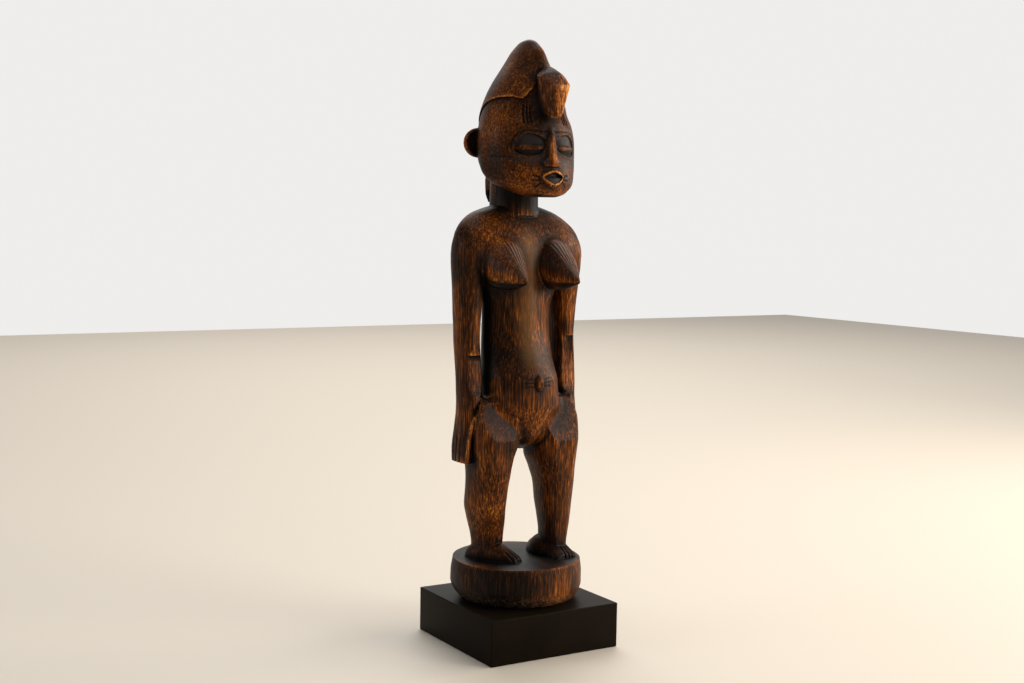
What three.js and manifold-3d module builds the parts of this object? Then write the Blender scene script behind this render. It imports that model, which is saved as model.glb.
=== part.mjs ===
// A standing female figure, carved with its round base from one block of wood,
// on a square painted plinth. Millimetres, +Z up. The figure looks along -Y,
// and the origin is the middle of the plinth's underside.

import * as THREE from 'three';
import { ConvexGeometry } from 'three/addons/geometries/ConvexGeometry.js';
import { mergeVertices } from 'three/addons/utils/BufferGeometryUtils.js';
import Module from 'manifold-3d';

// Driving dimensions. Heights on the figure are measured from its own underside,
// "forward" is the way it faces, and "out" is away from its middle plane.

const PLINTH = { side: 152.4, height: 46.7, eased: 0.9 };
const REST_GAP = 0.3;

const BASE_HEIGHT = 42;

// Each form is a stack of oval sections: half-width, reach forward and back from
// a middle that lies "out" and "ahead", and how full the oval's corners are
// (2 is an ellipse, more is squarer, less is more pointed).

const BASE = [
  { at: 0, side: 58, front: 58, back: 58, out: -1, full: 2 },
  { at: 3, side: 62, front: 61.5, back: 63, out: -1, full: 2 },
  { at: 10, side: 67, front: 66, back: 68.5, out: -1.6, full: 2 },
  { at: 18, side: 69.2, front: 67.5, back: 70.5, out: -2, full: 2 },
  { at: 29, side: 69, front: 67.5, back: 70, out: -2, full: 2 },
  { at: 40, side: 67.4, front: 66.6, back: 68.4, out: -2, full: 2 },
  { at: BASE_HEIGHT, side: 67.1, front: 66.4, back: 68.1, out: -2, full: 2 },
];

const TORSO = [
  { at: 157, side: 6, front: 8, back: 16, ahead: -4, full: 2.0 },
  { at: 164, side: 15, front: 21, back: 30, ahead: -2, full: 2.0 },
  { at: 176, side: 24, front: 28, back: 35, ahead: 0, full: 2.0 },
  { at: 190, side: 33, front: 32, back: 36, ahead: 0, full: 2.0 },
  { at: 205, side: 41.5, front: 36, back: 37, out: -0.4, ahead: 0, full: 2.1 },
  { at: 229, side: 41.4, front: 36.8, back: 37, out: -2.2, ahead: -1, full: 2.1 },
  { at: 250, side: 39.5, front: 33, back: 34, out: -2.4, ahead: -5, full: 1.95 },
  { at: 268, side: 39, front: 30.6, back: 30, out: -1.9, ahead: -9, full: 1.85 },
  { at: 284, side: 38.3, front: 29.8, back: 28.5, out: -1.7, ahead: -10.8, full: 1.8 },
  { at: 303, side: 38.8, front: 29.3, back: 28, out: -1.2, ahead: -11.4, full: 1.8 },
  { at: 325, side: 45.5, front: 27.6, back: 28, ahead: -11.4, full: 2.0 },
  { at: 345, side: 61, front: 26.5, back: 29, ahead: -10.8, full: 2.6 },
  { at: 360, side: 73.2, front: 26.5, back: 29, ahead: -10.8, full: 2.7 },
  { at: 370, side: 74.2, front: 26, back: 28.5, ahead: -11.7, full: 2.6 },
  { at: 379, side: 72.4, front: 25, back: 27, ahead: -13.2, full: 2.4 },
  { at: 387, side: 68.5, front: 24, back: 25.5, ahead: -15.2, full: 2.25 },
  { at: 395, side: 61, front: 23.5, back: 23.5, ahead: -18.4, full: 2.1 },
  { at: 402, side: 50.6, front: 22, back: 21, ahead: -20.6, full: 2.0 },
  { at: 408, side: 34, front: 20, back: 19, ahead: -21, full: 2.0 },
  { at: 411, side: 22, front: 17, back: 17, ahead: -21, full: 2.0 },
];
const BUTTOCK = { out: 23, forward: -24, height: 184, across: 24, deep: 21, tall: 30 };

const NECK = [
  { at: 400, side: 25.4, front: 25.4, back: 25.4, ahead: -20.6, full: 2.1 },
  { at: 446, side: 24.6, front: 24.6, back: 24.6, ahead: -20.6, full: 2.1 },
];

const ARM = [
  { at: 145.5, side: 6.2, front: 16.5, back: 17, out: 64.2, ahead: -9.5, full: 2.6 },
  { at: 160, side: 6.6, front: 17, back: 18, out: 63.6, ahead: -10, full: 2.6 },
  { at: 180, side: 8.4, front: 17, back: 18, out: 60.8, ahead: -8.8, full: 2.5 },
  { at: 196, side: 10, front: 16.5, back: 17, out: 58.8, ahead: -8, full: 2.4 },
  { at: 213, side: 11.6, front: 16, back: 16.5, out: 57, ahead: -9, full: 2.4 },
  { at: 230, side: 12.2, front: 15.5, back: 16, out: 57, ahead: -9.8, full: 2.4 },
  { at: 252, side: 11.5, front: 16, back: 17, out: 57.6, ahead: -12.2, full: 2.4 },
  { at: 277, side: 11.6, front: 17.2, back: 17.5, out: 57.8, ahead: -15, full: 2.3 },
  { at: 302, side: 13.4, front: 18, back: 17.5, out: 58, ahead: -14.8, full: 2.2 },
  { at: 330, side: 14, front: 19.6, back: 19, out: 59, ahead: -13.4, full: 2.2 },
  { at: 350, side: 14.1, front: 22.6, back: 20, out: 60, ahead: -13.5, full: 2.2 },
  { at: 366, side: 11, front: 20.5, back: 17, out: 61, ahead: -14, full: 2.2 },
  { at: 378, side: 5, front: 11, back: 8, out: 61, ahead: -16, full: 2 },
];
// The front of each forearm is planed flat up to a short step at the elbow, leaning
// back by a share of its height.
const ELBOW = {
  forward: 4.6, lean: 0.085, inner: 44, outer: 76, thick: 15,
  foot: 212, heights: { '-1': 256.5, 1: 274 },
};

// The two legs were carved by eye and differ a little.
const RIGHT_LEG = [
  { at: 42, side: 13.8, front: 16.6, back: 16.6, out: 33.4, ahead: -8.3, turn: 0.15, full: 2.3 },
  { at: 56, side: 13.6, front: 16.4, back: 16.4, out: 33.7, ahead: -8.3, turn: 0.15, full: 2.3 },
  { at: 66, side: 14.1, front: 17.5, back: 17.5, out: 34.1, ahead: -8.3, turn: 0.15, full: 2.3 },
  { at: 84, side: 16.2, front: 21, back: 21.4, out: 36.9, ahead: -6, turn: 0.14, full: 2.3 },
  { at: 101, side: 17.5, front: 24, back: 24.7, out: 39.4, ahead: -3.4, turn: 0.11, full: 2.3 },
  { at: 118, side: 18.3, front: 25.2, back: 25.6, out: 39.5, ahead: -0.6, turn: 0.07, full: 2.3 },
  { at: 134, side: 20, front: 27.8, back: 27.8, out: 39.3, ahead: 1.4, turn: 0.02, full: 2.3 },
  { at: 150, side: 22.6, front: 30.2, back: 28.6, out: 38.6, ahead: 1, full: 2.4 },
  { at: 168, side: 26, front: 32, back: 30, out: 37, ahead: 0.5, full: 2.6 },
  { at: 188, side: 23.5, front: 31.5, back: 30, out: 38.5, full: 2.5 },
  { at: 202, side: 19, front: 23, back: 27, out: 42, ahead: -1, full: 2.3 },
  { at: 213, side: 12, front: 11, back: 20, out: 45, ahead: -3, full: 2 },
];
const LEFT_LEG = [
  { at: 42, side: 13.6, front: 20.4, back: 20.4, out: 38.8, ahead: 5, turn: 0.12, full: 2.3 },
  { at: 56, side: 13.4, front: 20.3, back: 20.3, out: 39.3, ahead: 5, turn: 0.12, full: 2.3 },
  { at: 66, side: 14, front: 21.2, back: 21.2, out: 39.8, ahead: 5, turn: 0.12, full: 2.3 },
  { at: 84, side: 16.4, front: 23.6, back: 24, out: 41, ahead: 3, turn: 0.12, full: 2.3 },
  { at: 101, side: 18.6, front: 25.7, back: 26, out: 41.5, ahead: 1, turn: 0.11, full: 2.3 },
  { at: 118, side: 19.8, front: 26.8, back: 27, out: 41, ahead: 1.6, turn: 0.07, full: 2.3 },
  { at: 134, side: 21.8, front: 29, back: 29, out: 38.8, ahead: 1.4, turn: 0.02, full: 2.3 },
  { at: 150, side: 25.2, front: 31, back: 29.5, out: 36.5, ahead: 1, full: 2.4 },
  { at: 168, side: 26, front: 32, back: 30, out: 37, ahead: 0.5, full: 2.6 },
  { at: 188, side: 23.5, front: 31.5, back: 30, out: 38.5, full: 2.5 },
  { at: 202, side: 19, front: 23, back: 27, out: 42, ahead: -1, full: 2.3 },
  { at: 213, side: 12, front: 11, back: 20, out: 45, ahead: -3, full: 2 },
];
// The carved bevel on the front of each thigh runs down and forward to this edge.
const THIGH_EDGE = { height: 168.5, forward: 31.5, slope: 66, cutter: 120 };
// The right thigh is cut back beside the hand. The cut face leans: its level falls with
// height, and rises by "taper" at the low end.
const HAND_GAP = { back: 2, front: 40, outer: 100, level: 77.1, lean: 0.168, across: 0.857, along: 0.515 };
const HAND_GAP_ENDS = [{ z: 143, taper: 9 }, { z: 156, taper: 0 }, { z: 216, taper: 0 }];

const HEAD = [
  { at: 419, side: 15, front: 15, back: 8, ahead: 31, full: 2.2 },
  { at: 421.5, side: 24, front: 21, back: 10, ahead: 28, full: 2.4 },
  { at: 426, side: 32, front: 31, back: 12, ahead: 20, full: 2.6 },
  { at: 432, side: 41.5, front: 42.5, back: 15, ahead: 10, full: 2.3 },
  { at: 438, side: 46.6, front: 50.5, back: 18, ahead: 3, full: 2.1 },
  { at: 446, side: 49.4, front: 53.5, back: 28, full: 2.0 },
  { at: 455, side: 50.4, front: 51.8, back: 40, full: 2.0 },
  { at: 464, side: 51, front: 50.2, back: 45, full: 2.0 },
  { at: 473, side: 51.2, front: 49.2, back: 47.5, full: 2.0 },
  { at: 482, side: 50.3, front: 48.4, back: 49, full: 1.98 },
  { at: 492, side: 48.2, front: 46.6, back: 49.8, ahead: -0.2, full: 1.95 },
  { at: 504, side: 44.7, front: 42.8, back: 50.2, ahead: -1.4, full: 1.87 },
  { at: 514, side: 41.4, front: 41.3, back: 49.4, ahead: -0.8, full: 1.88 },
  { at: 524, side: 37, front: 40, back: 48, full: 1.9 },
  { at: 536, side: 30, front: 36.5, back: 44.5, full: 1.9 },
  { at: 548, side: 22, front: 32, back: 38, full: 1.9 },
  { at: 558, side: 15.8, front: 29, back: 31, full: 1.9 },
  { at: 566, side: 11.4, front: 26, back: 25, full: 1.9 },
  { at: 573, side: 7, front: 18, back: 17.5, ahead: 1, full: 1.9 },
  { at: 577.5, side: 3.6, front: 9.5, back: 10.5, ahead: 2.5, full: 2.0 },
  { at: 579.3, side: 0.8, front: 2.5, back: 2.5, ahead: 4, full: 2.0 },
];

// The cap of hair stands proud of the head above this line, seen from the side:
// forward and height, from over the forehead round to the nape. In front it parts to a
// peak, and the forehead shows bare up to the lock.
const CAP_RELIEF = 1.7;
const HAIRLINE = [
  [60, 506], [36, 516], [25, 518.8], [10, 518.5], [-8, 515],
  [-22, 508], [-34, 496], [-41, 478], [-43, 440], [-80, 440],
];
const HAIR_TOP = 600;
const PARTING = { out: 37.6, low: 500, peak: 544.8, back: 25, front: 80 };

const BRAID = [
  { at: 414, side: 8.5, front: 2, back: 2.4, ahead: -58.5, full: 3 },
  { at: 424, side: 10, front: 3, back: 3.2, ahead: -61.8, full: 3 },
  { at: 436, side: 10, front: 26, back: 4, ahead: -62.5, full: 3 },
  { at: 455, side: 10, front: 22, back: 5, ahead: -54, full: 3 },
  { at: 468, side: 9, front: 10, back: 3, ahead: -47, full: 3 },
];

// The faceted lock of hair over the forehead: out, forward and height of its corners.
const FORELOCK = [
  [8.8, 69.2, 529], [2.7, 64.4, 499.6], [17, 48, 538.5], [12.5, 44, 522], [10, 50.8, 510],
  [4.9, 58.4, 497.2], [8, 55, 541.5], [12, 40, 541], [5, 36, 505],
];
const FORELOCK_RIDGE = [[67.6, 537.3], [63.5, 541], [56, 545.2], [45, 549.5], [36, 549.5]];

const EAR = {
  radius: 15.2, thickness: 7, edge: 1.5, lip: 1, rim: 2.8, slope: 2, dish: 2.6, dip: 0.6,
  out: 43.2, forward: -22, height: 474, turn: 18,
};

const EYE = { outs: { '-1': 21.2, 1: 20.2 }, turn: 24 };
const SOCKET = { forward: 44.5, height: 473.5, width: 15.9, deep: 8, tall: 11.8 };
// The eyelid's corners, as reach forward of its root and height over its level ridge.
const EYELID = {
  root: 39.3,
  buried: 4,
  ridge: 470.5,
  width: 13.2,
  reach: 8.5,
  ends: 0.25,
  section: [[0.2, 5.6], [0.6, -8.5], [0, -10.5]],
};

// The nose: a narrow ridge on steep flanks, and two short wings, as half-width, forward
// and height of each corner.
const NOSE = {
  ridge: [
    [0.6, 44.5, 493], [1.2, 48.6, 486.5], [1.8, 53.5, 480], [2.6, 54.9, 462], [2.7, 58.2, 453.2],
    [2.5, 57.2, 449.2], [2, 40, 493], [7.4, 42, 480], [7.6, 40, 464], [7.6, 40, 450],
  ],
  wings: [
    [2.7, 58.2, 453], [2.4, 57.2, 449.2], [10.6, 54.2, 453.9], [9.4, 53.2, 449],
    [3.2, 54.8, 460.5], [10.6, 42, 454.4], [9.4, 42, 449], [5, 42, 462],
  ],
};
const MOUTH = { height: 437.3, forward: 54.6, width: 9.4, rise: 6.2, thick: 0.34, stand: 7.2 };
const MOUTH_OPENING = { height: 439, width: 7.2, rise: 4, deep: 5 };

const BREAST = {
  out: 30.5, forward: 10, height: 350,
  tipOut: 31.2, tipForward: 58, tipHeight: 333.4,
  radius: 25,
  narrow: 0.92,
  profile: [
    [1, -0.12], [1, 0], [0.94, 0.18], [0.79, 0.38], [0.56, 0.6], [0.31, 0.8], [0.16, 0.93], [0.1, 0.985],
  ],
};

const NAVEL = { height: 228.7, forward: 35.5, width: 4.7, rise: 8, depth: 5 };

// Heel and toe ends of each foot's middle line, as out and forward. Neither foot
// mirrors the other: the right one turns inwards, the left one points ahead.
const FEET = [
  { side: -1, heel: [45.5, -27], toe: [16.5, 29], toeWidth: 0.58 },
  { side: 1, heel: [33.5, -25], toe: [38, 36], toeWidth: 1 },
];
const FOOT = [
  { at: 0, side: 7, up: 8 },
  { at: 0.07, side: 11.5, up: 13 },
  { at: 0.18, side: 14.6, up: 16 },
  { at: 0.36, side: 15.4, up: 20 },
  { at: 0.64, side: 15.4, up: 18 },
  { at: 0.8, side: 15.6, up: 13 },
  { at: 0.93, side: 15, up: 8.5 },
  { at: 1, side: 12, up: 5.5 },
];
const FOOT_WIDEST = 0.3;
const FOOT_FULL = 2.5;
const FOOT_SUNK = -0.3;
// The left ankle stands in a round ball of wood behind the toes.
const ANKLE_BALL = { out: 33, forward: 1, wide: 18.5, long: 22, tall: 21.3 };

const TOE_GROOVE = { count: 4, pitch: 6, behind: 15, beyond: 4, high: 14.5, low: 4, width: 1.2, depth: 2 };
const FINGER_GROOVE = {
  out: 70, height: 172, low: 143, forwards: [-19, -12, -5], lean: 1.5, width: 0.7, depth: 1.5,
};
const TEMPLE_SCAR = {
  topOuts: [22.9, 19.9, 16.9],
  bottomOuts: [25.7, 22.5, 19.3],
  top: 510.4,
  bottom: 492.5,
  width: 1.1,
  depth: 1.1,
};

// How many flat sides each round form gets.
const SIDES = {
  head: 26, torso: 26, neck: 18, arm: 14, leg: 16, braid: 12, base: 40, foot: 14,
  breast: 18, ear: 14, lips: 20, lipRing: 6, egg: [14, 8],
};
const SLIVER = 0.02;

const WOOD_COLOUR = 0x4a2a16;
const PLINTH_COLOUR = 0x17120f;

const wasm = await Module();
wasm.setup();

// Closed three.js geometry to a solid that can be joined and cut.
function solid(geometry) {
  const bare = geometry.clone();
  bare.deleteAttribute('normal');
  bare.deleteAttribute('uv');
  const merged = mergeVertices(bare, 1e-3);
  const vertProperties = Float32Array.from(merged.attributes.position.array);
  const triVerts = Uint32Array.from(merged.index.array);
  return new wasm.Manifold(new wasm.Mesh({ numProp: 3, vertProperties, triVerts }));
}

// The joined solid as three.js geometry, without the slivers that cuts leave behind.
function geometryOf(body) {
  const mesh = body.simplify(SLIVER).getMesh();
  const geometry = new THREE.BufferGeometry();
  geometry.setAttribute('position', new THREE.BufferAttribute(mesh.vertProperties, 3));
  geometry.setIndex(new THREE.BufferAttribute(mesh.triVerts, 1));
  geometry.computeVertexNormals();
  return geometry;
}

const joined = (bodies) => bodies.reduce((whole, body) => whole.add(body));

// A value between stations: a cubic that passes through each one and never overshoots.
function between(stations, key, at) {
  const last = stations.length - 1;
  const value = (i) => stations[i][key] ?? 0;
  const rate = (i) => (value(i + 1) - value(i)) / (stations[i + 1].at - stations[i].at);
  const slope = (i) => {
    const before = rate(Math.max(i - 1, 0));
    const after = rate(Math.min(i, last - 1));
    return before * after > 0 ? (2 * before * after) / (before + after) : 0;
  };
  let i = 0;
  while (i < last - 1 && at > stations[i + 1].at) i += 1;
  const span = stations[i + 1].at - stations[i].at;
  const t = THREE.MathUtils.clamp((at - stations[i].at) / span, 0, 1);
  const rise = value(i + 1) - value(i);
  const curve = t * t * (3 - 2 * t);
  const lift = t * (1 - t) * ((1 - t) * slope(i) - t * slope(i + 1)) * span;
  return value(i) + rise * curve + lift;
}

// A point of an oval whose fullness is given, on the unit circle's angle.
function oval(angle, full) {
  const power = (v) => Math.sign(v) * Math.abs(v) ** (2 / full);
  return [power(Math.cos(angle)), power(Math.sin(angle))];
}

// A stack of sections made from a cylinder: each ring of the cylinder is moved to
// its section, one ring to a station. "hand" is +1 or -1 for the figure's left or right.
function stack(stations, sides, { hand = 1, grow = 0 } = {}) {
  const spans = stations.length - 1;
  const geometry = new THREE.CylinderGeometry(1, 1, 1, sides, spans);
  geometry.rotateX(Math.PI / 2);
  const position = geometry.attributes.position;
  for (let i = 0; i < position.count; i += 1) {
    const [px, py, pz] = [position.getX(i), position.getY(i), position.getZ(i)];
    const station = stations[Math.round((pz + 0.5) * spans)];
    const get = (key) => station[key] ?? 0;
    const [across, along] = oval(Math.atan2(-py, px), get('full'));
    const onRim = Math.hypot(px, py);
    const reach = (along > 0 ? get('front') : get('back')) + grow;
    const ahead = along * reach * onRim;
    const out = get('out') - get('turn') * ahead;
    const x = hand * out + across * (get('side') + grow) * onRim;
    position.setXYZ(i, x, -(get('ahead') + ahead), station.at);
  }
  return solid(geometry);
}

// An ellipsoid given by its half-sizes across, forward and up.
function ellipsoid(x, forward, height, across, deep, tall) {
  const geometry = new THREE.SphereGeometry(1, ...SIDES.egg);
  geometry.rotateX(Math.PI / 2);
  geometry.scale(across, deep, tall);
  geometry.translate(x, -forward, height);
  return solid(geometry);
}

const block = (corners) => solid(new ConvexGeometry(corners.map(([x, f, z]) => new THREE.Vector3(x, -f, z))));

const bothSides = (corners) => corners.flatMap(([x, f, z]) => [[x, f, z], [-x, f, z]]);

// How far forward the face lies at a place given by out and height.
function faceForward(out, height) {
  const get = (key) => between(HEAD, key, height);
  const across = Math.abs(out) / get('side');
  return get('ahead') + get('front') * (1 - across ** get('full')) ** (1 / get('full'));
}

// A thin straight groove cutter between two points, each given as [x, forward, height].
function groove(a, b, width, depth) {
  const start = new THREE.Vector3(a[0], -a[1], a[2]);
  const end = new THREE.Vector3(b[0], -b[1], b[2]);
  const geometry = new THREE.BoxGeometry(width, depth * 2, start.distanceTo(end));
  const matrix = new THREE.Matrix4().lookAt(end, start, new THREE.Vector3(0, -1, 0.01));
  geometry.applyMatrix4(matrix);
  const middle = start.add(end).multiplyScalar(0.5);
  geometry.translate(middle.x, middle.y, middle.z);
  return solid(geometry);
}

// Everything in front of the thigh's bevel, as one large block.
function thighCutter() {
  const size = THIGH_EDGE.cutter;
  const geometry = new THREE.BoxGeometry(size * 2, size, size);
  geometry.translate(0, -size / 2, 0);
  geometry.rotateX(-THREE.MathUtils.degToRad(90 - THIGH_EDGE.slope));
  geometry.translate(0, -THIGH_EDGE.forward, THIGH_EDGE.height);
  return solid(geometry);
}

function handGap() {
  const { back, front, outer, level, lean, across, along } = HAND_GAP;
  return block(HAND_GAP_ENDS.flatMap(({ z, taper }) => [back, front].flatMap((f) => {
    const inner = (level - lean * z + taper + along * f) / across;
    return [[-inner, f, z], [-outer, f, z]];
  })));
}

function leg(hand) {
  const limb = stack(hand < 0 ? RIGHT_LEG : LEFT_LEG, SIDES.leg, { hand }).subtract(thighCutter());
  return hand < 0 ? limb.subtract(handGap()) : limb;
}

// The block that is planed off the front of a forearm.
function elbowCutter(hand) {
  const { forward, lean, inner, outer, thick, foot: low, heights } = ELBOW;
  return block([low, heights[hand]].flatMap((z) => {
    const f = forward - lean * (z - low);
    return [inner, outer].flatMap((out) => [[hand * out, f, z], [hand * out, f + thick, z]]);
  }));
}

function arm(hand) {
  const cuts = joined([elbowCutter(hand), ...fingerGrooves(hand)]);
  return stack(ARM, SIDES.arm, { hand }).subtract(cuts);
}

function buttock(hand) {
  const { out, forward, height, across, deep, tall } = BUTTOCK;
  return ellipsoid(hand * out, forward, height, across, deep, tall);
}

// The way a foot points, its length, and a place beside its middle line: "along" is a
// share of the length, "aside" is towards the other foot.
function footFrame({ side, heel, toe }) {
  const [x, f] = [side * (toe[0] - heel[0]), toe[1] - heel[1]];
  const length = Math.hypot(x, f);
  const ahead = [x / length, f / length];
  const place = (along, aside) => [
    side * heel[0] + ahead[0] * along * length - side * ahead[1] * aside,
    heel[1] + ahead[1] * along * length + side * ahead[0] * aside,
  ];
  return { length, place };
}

function foot(ends) {
  const { place } = footFrame(ends);
  const geometry = new THREE.CylinderGeometry(1, 1, 1, SIDES.foot, FOOT.length - 1);
  geometry.rotateX(Math.PI / 2);
  const position = geometry.attributes.position;
  for (let i = 0; i < position.count; i += 1) {
    const [px, py, pz] = [position.getX(i), position.getY(i), position.getZ(i)];
    const { at, side, up } = FOOT[Math.round((pz + 0.5) * (FOOT.length - 1))];
    const [across, high] = oval(Math.atan2(py, px), FOOT_FULL).map((v) => v * Math.hypot(px, py));
    const taper = THREE.MathUtils.mapLinear(Math.max(at, FOOT_WIDEST), FOOT_WIDEST, 1, 1, ends.toeWidth);
    const [x, forward] = place(at, -ends.side * side * taper * across);
    position.setXYZ(i, x, -forward, BASE_HEIGHT - 1 + up * Math.max(high, FOOT_SUNK));
  }
  return solid(geometry);
}

function ankleBall() {
  const { out, forward, wide, long, tall } = ANKLE_BALL;
  return ellipsoid(out, forward, BASE_HEIGHT, wide, long, tall);
}

function breast(hand) {
  const { out, forward, height, tipOut, tipForward, tipHeight, radius, narrow, profile } = BREAST;
  const base = new THREE.Vector3(hand * out, -forward, height);
  const tip = new THREE.Vector3(hand * tipOut, -tipForward, tipHeight);
  const length = base.distanceTo(tip);
  const outline = profile.map(([r, t]) => new THREE.Vector2(r * radius, t * length));
  const points = [new THREE.Vector2(0, outline[0].y), ...outline, new THREE.Vector2(0, length)];
  const geometry = new THREE.LatheGeometry(points, SIDES.breast);
  geometry.scale(narrow, 1, 1);
  const axis = tip.sub(base).normalize();
  const turn = new THREE.Quaternion().setFromUnitVectors(new THREE.Vector3(0, 1, 0), axis);
  geometry.applyQuaternion(turn);
  geometry.translate(base.x, base.y, base.z);
  return solid(geometry);
}

function ear(hand) {
  const { radius, thickness, edge, lip, rim, slope, dish, dip, out, forward, height, turn } = EAR;
  const half = thickness / 2;
  const profile = [
    [0, -half], [radius - edge, -half], [radius, edge - half], [radius, half - lip], [radius - lip, half],
    [radius - rim, half], [radius - rim - slope, half - dish], [0, half - dish - dip],
  ].map(([r, z]) => new THREE.Vector2(r, z));
  const geometry = new THREE.LatheGeometry(profile, SIDES.ear);
  geometry.rotateX(Math.PI);
  geometry.rotateZ(THREE.MathUtils.degToRad(hand * turn));
  geometry.translate(hand * out, -forward, height);
  return solid(geometry);
}

// The region above the hairline, as wide as the head, for cutting the cap of hair.
function aboveHairline() {
  const top = [[HAIRLINE.at(-1)[0], HAIR_TOP], [HAIRLINE[0][0], HAIR_TOP]];
  const outline = [...HAIRLINE, ...top].map(([f, z]) => new THREE.Vector2(f, z));
  const width = HAIR_TOP / 4;
  const geometry = new THREE.ExtrudeGeometry(new THREE.Shape(outline), { depth: width, bevelEnabled: false });
  geometry.translate(0, 0, -width / 2);
  geometry.rotateX(Math.PI / 2);
  geometry.rotateZ(-Math.PI / 2);
  const { out, low, peak, back, front } = PARTING;
  const wedge = [back, front].flatMap((f) => [[-out, f, low], [out, f, low], [0, f, peak]]);
  return solid(geometry).subtract(block(wedge));
}

function forelock() {
  const ridge = FORELOCK_RIDGE.map(([f, z]) => [0, f, z]);
  return block([...bothSides(FORELOCK), ...ridge]);
}

function socket(hand) {
  const { forward, height, width, deep, tall } = SOCKET;
  const bowl = ellipsoid(0, 0, 0, width, deep, tall);
  return bowl.rotate([0, 0, hand * EYE.turn]).translate([hand * EYE.outs[hand], -forward, height]);
}

// An eyelid: an upper slope and a lower bulge that meet in a level ridge.
function eyelid(hand) {
  const { root, buried, ridge, width, reach, ends, section } = EYELID;
  const spans = 8;
  const points = [];
  for (let i = 0; i <= spans; i += 1) {
    const t = (i / spans) * 2 - 1;
    const round = Math.sqrt(1 - t * t);
    points.push([t * width, reach * (ends + (1 - ends) * round), 0]);
    points.push([t * width, -buried, 0]);
    section.forEach(([out, up]) => points.push([t * width, reach * out * round, up * round]));
  }
  return block(points).rotate([0, 0, hand * EYE.turn]).translate([hand * EYE.outs[hand], -root, ridge]);
}

function nose() {
  return block(bothSides(NOSE.ridge)).add(block(bothSides(NOSE.wings)));
}

// Lips: an oval ring standing out from the face round an opening.
function lips() {
  const { height, forward, width, rise, thick, stand } = MOUTH;
  const geometry = new THREE.TorusGeometry(1, thick, SIDES.lipRing, SIDES.lips);
  geometry.rotateX(Math.PI / 2);
  geometry.scale(width, stand, rise);
  geometry.translate(0, -forward, height);
  return solid(geometry);
}

function mouthOpening() {
  const { height, width, rise, deep } = MOUTH_OPENING;
  return ellipsoid(0, MOUTH.forward, height, width, deep, rise);
}

function navel() {
  const { height, forward, width, rise, depth } = NAVEL;
  return ellipsoid(0, forward, height, width, depth, rise);
}

// Four grooves part the toes of a foot, fanning out a little.
function toeGrooves(ends) {
  const { length, place } = footFrame(ends);
  const { count, pitch, behind, beyond, high, low, width, depth } = TOE_GROOVE;
  return Array.from({ length: count }, (_, i) => {
    const aside = (i - (count - 1) / 2) * pitch;
    const start = [...place(1 - behind / length, aside * 0.8), BASE_HEIGHT + high];
    const end = [...place(1 + beyond / length, aside), BASE_HEIGHT + low];
    return groove(start, end, width, depth);
  });
}

// Three grooves part the fingers on the outer face of each hand.
function fingerGrooves(hand) {
  const { out, height, low, forwards, lean, width, depth } = FINGER_GROOVE;
  return forwards.map((forward) => groove(
    [hand * out, forward, low],
    [hand * out, forward + lean, height],
    depth * 2,
    width,
  ));
}

// Three upright cuts on each temple, under the corner of the hairline.
function templeScars(hand) {
  const { topOuts, bottomOuts, top, bottom, width, depth } = TEMPLE_SCAR;
  return topOuts.map((out, i) => groove(
    [hand * out, faceForward(out, top), top],
    [hand * bottomOuts[i], faceForward(bottomOuts[i], bottom), bottom],
    width,
    depth,
  ));
}

function figure() {
  const hands = [-1, 1];
  const head = stack(HEAD, SIDES.head);
  const cap = stack(HEAD, SIDES.head, { grow: CAP_RELIEF }).intersect(aboveHairline());
  const braid = stack(BRAID, SIDES.braid);
  let skull = joined([head, cap, braid, forelock()]);
  const cuts = joined([...hands.map(socket), ...hands.flatMap(templeScars)]);
  skull = joined([skull.subtract(cuts), ...hands.map(eyelid), nose(), lips()]).subtract(mouthOpening());
  const trunk = joined([stack(TORSO, SIDES.torso), stack(NECK, SIDES.neck), navel()]);
  const body = joined([trunk, ...hands.map(breast), ...hands.map(buttock)]);
  const limbs = hands.flatMap((hand) => [arm(hand), leg(hand), ear(hand)]);
  const feet = joined(FEET.map(foot)).subtract(joined(FEET.flatMap(toeGrooves)));
  return joined([stack(BASE, SIDES.base), body, skull, feet, ankleBall(), ...limbs]);
}

function plinthGeometry() {
  const { side, height, eased } = PLINTH;
  const half = side / 2 - eased;
  const outline = [[-half, -half], [half, -half], [half, half], [-half, half]];
  const shape = new THREE.Shape(outline.map(([x, y]) => new THREE.Vector2(x, y)));
  const geometry = new THREE.ExtrudeGeometry(shape, {
    depth: height - 2 * eased,
    bevelThickness: eased,
    bevelSize: eased,
    bevelSegments: 1,
  });
  geometry.translate(0, 0, eased);
  return geometry;
}

const wood = new THREE.MeshStandardMaterial({ color: WOOD_COLOUR, roughness: 0.42, metalness: 0 });
const paint = new THREE.MeshStandardMaterial({ color: PLINTH_COLOUR, roughness: 0.5, metalness: 0 });

const figureMesh = new THREE.Mesh(geometryOf(figure()), wood);
figureMesh.name = 'carved_figure';
figureMesh.position.z = PLINTH.height + REST_GAP;

const plinthMesh = new THREE.Mesh(plinthGeometry(), paint);
plinthMesh.name = 'square_plinth';

const standingFigure = new THREE.Group();
standingFigure.add(plinthMesh, figureMesh);

export default standingFigure;
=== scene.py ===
# %% [markdown]
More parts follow.
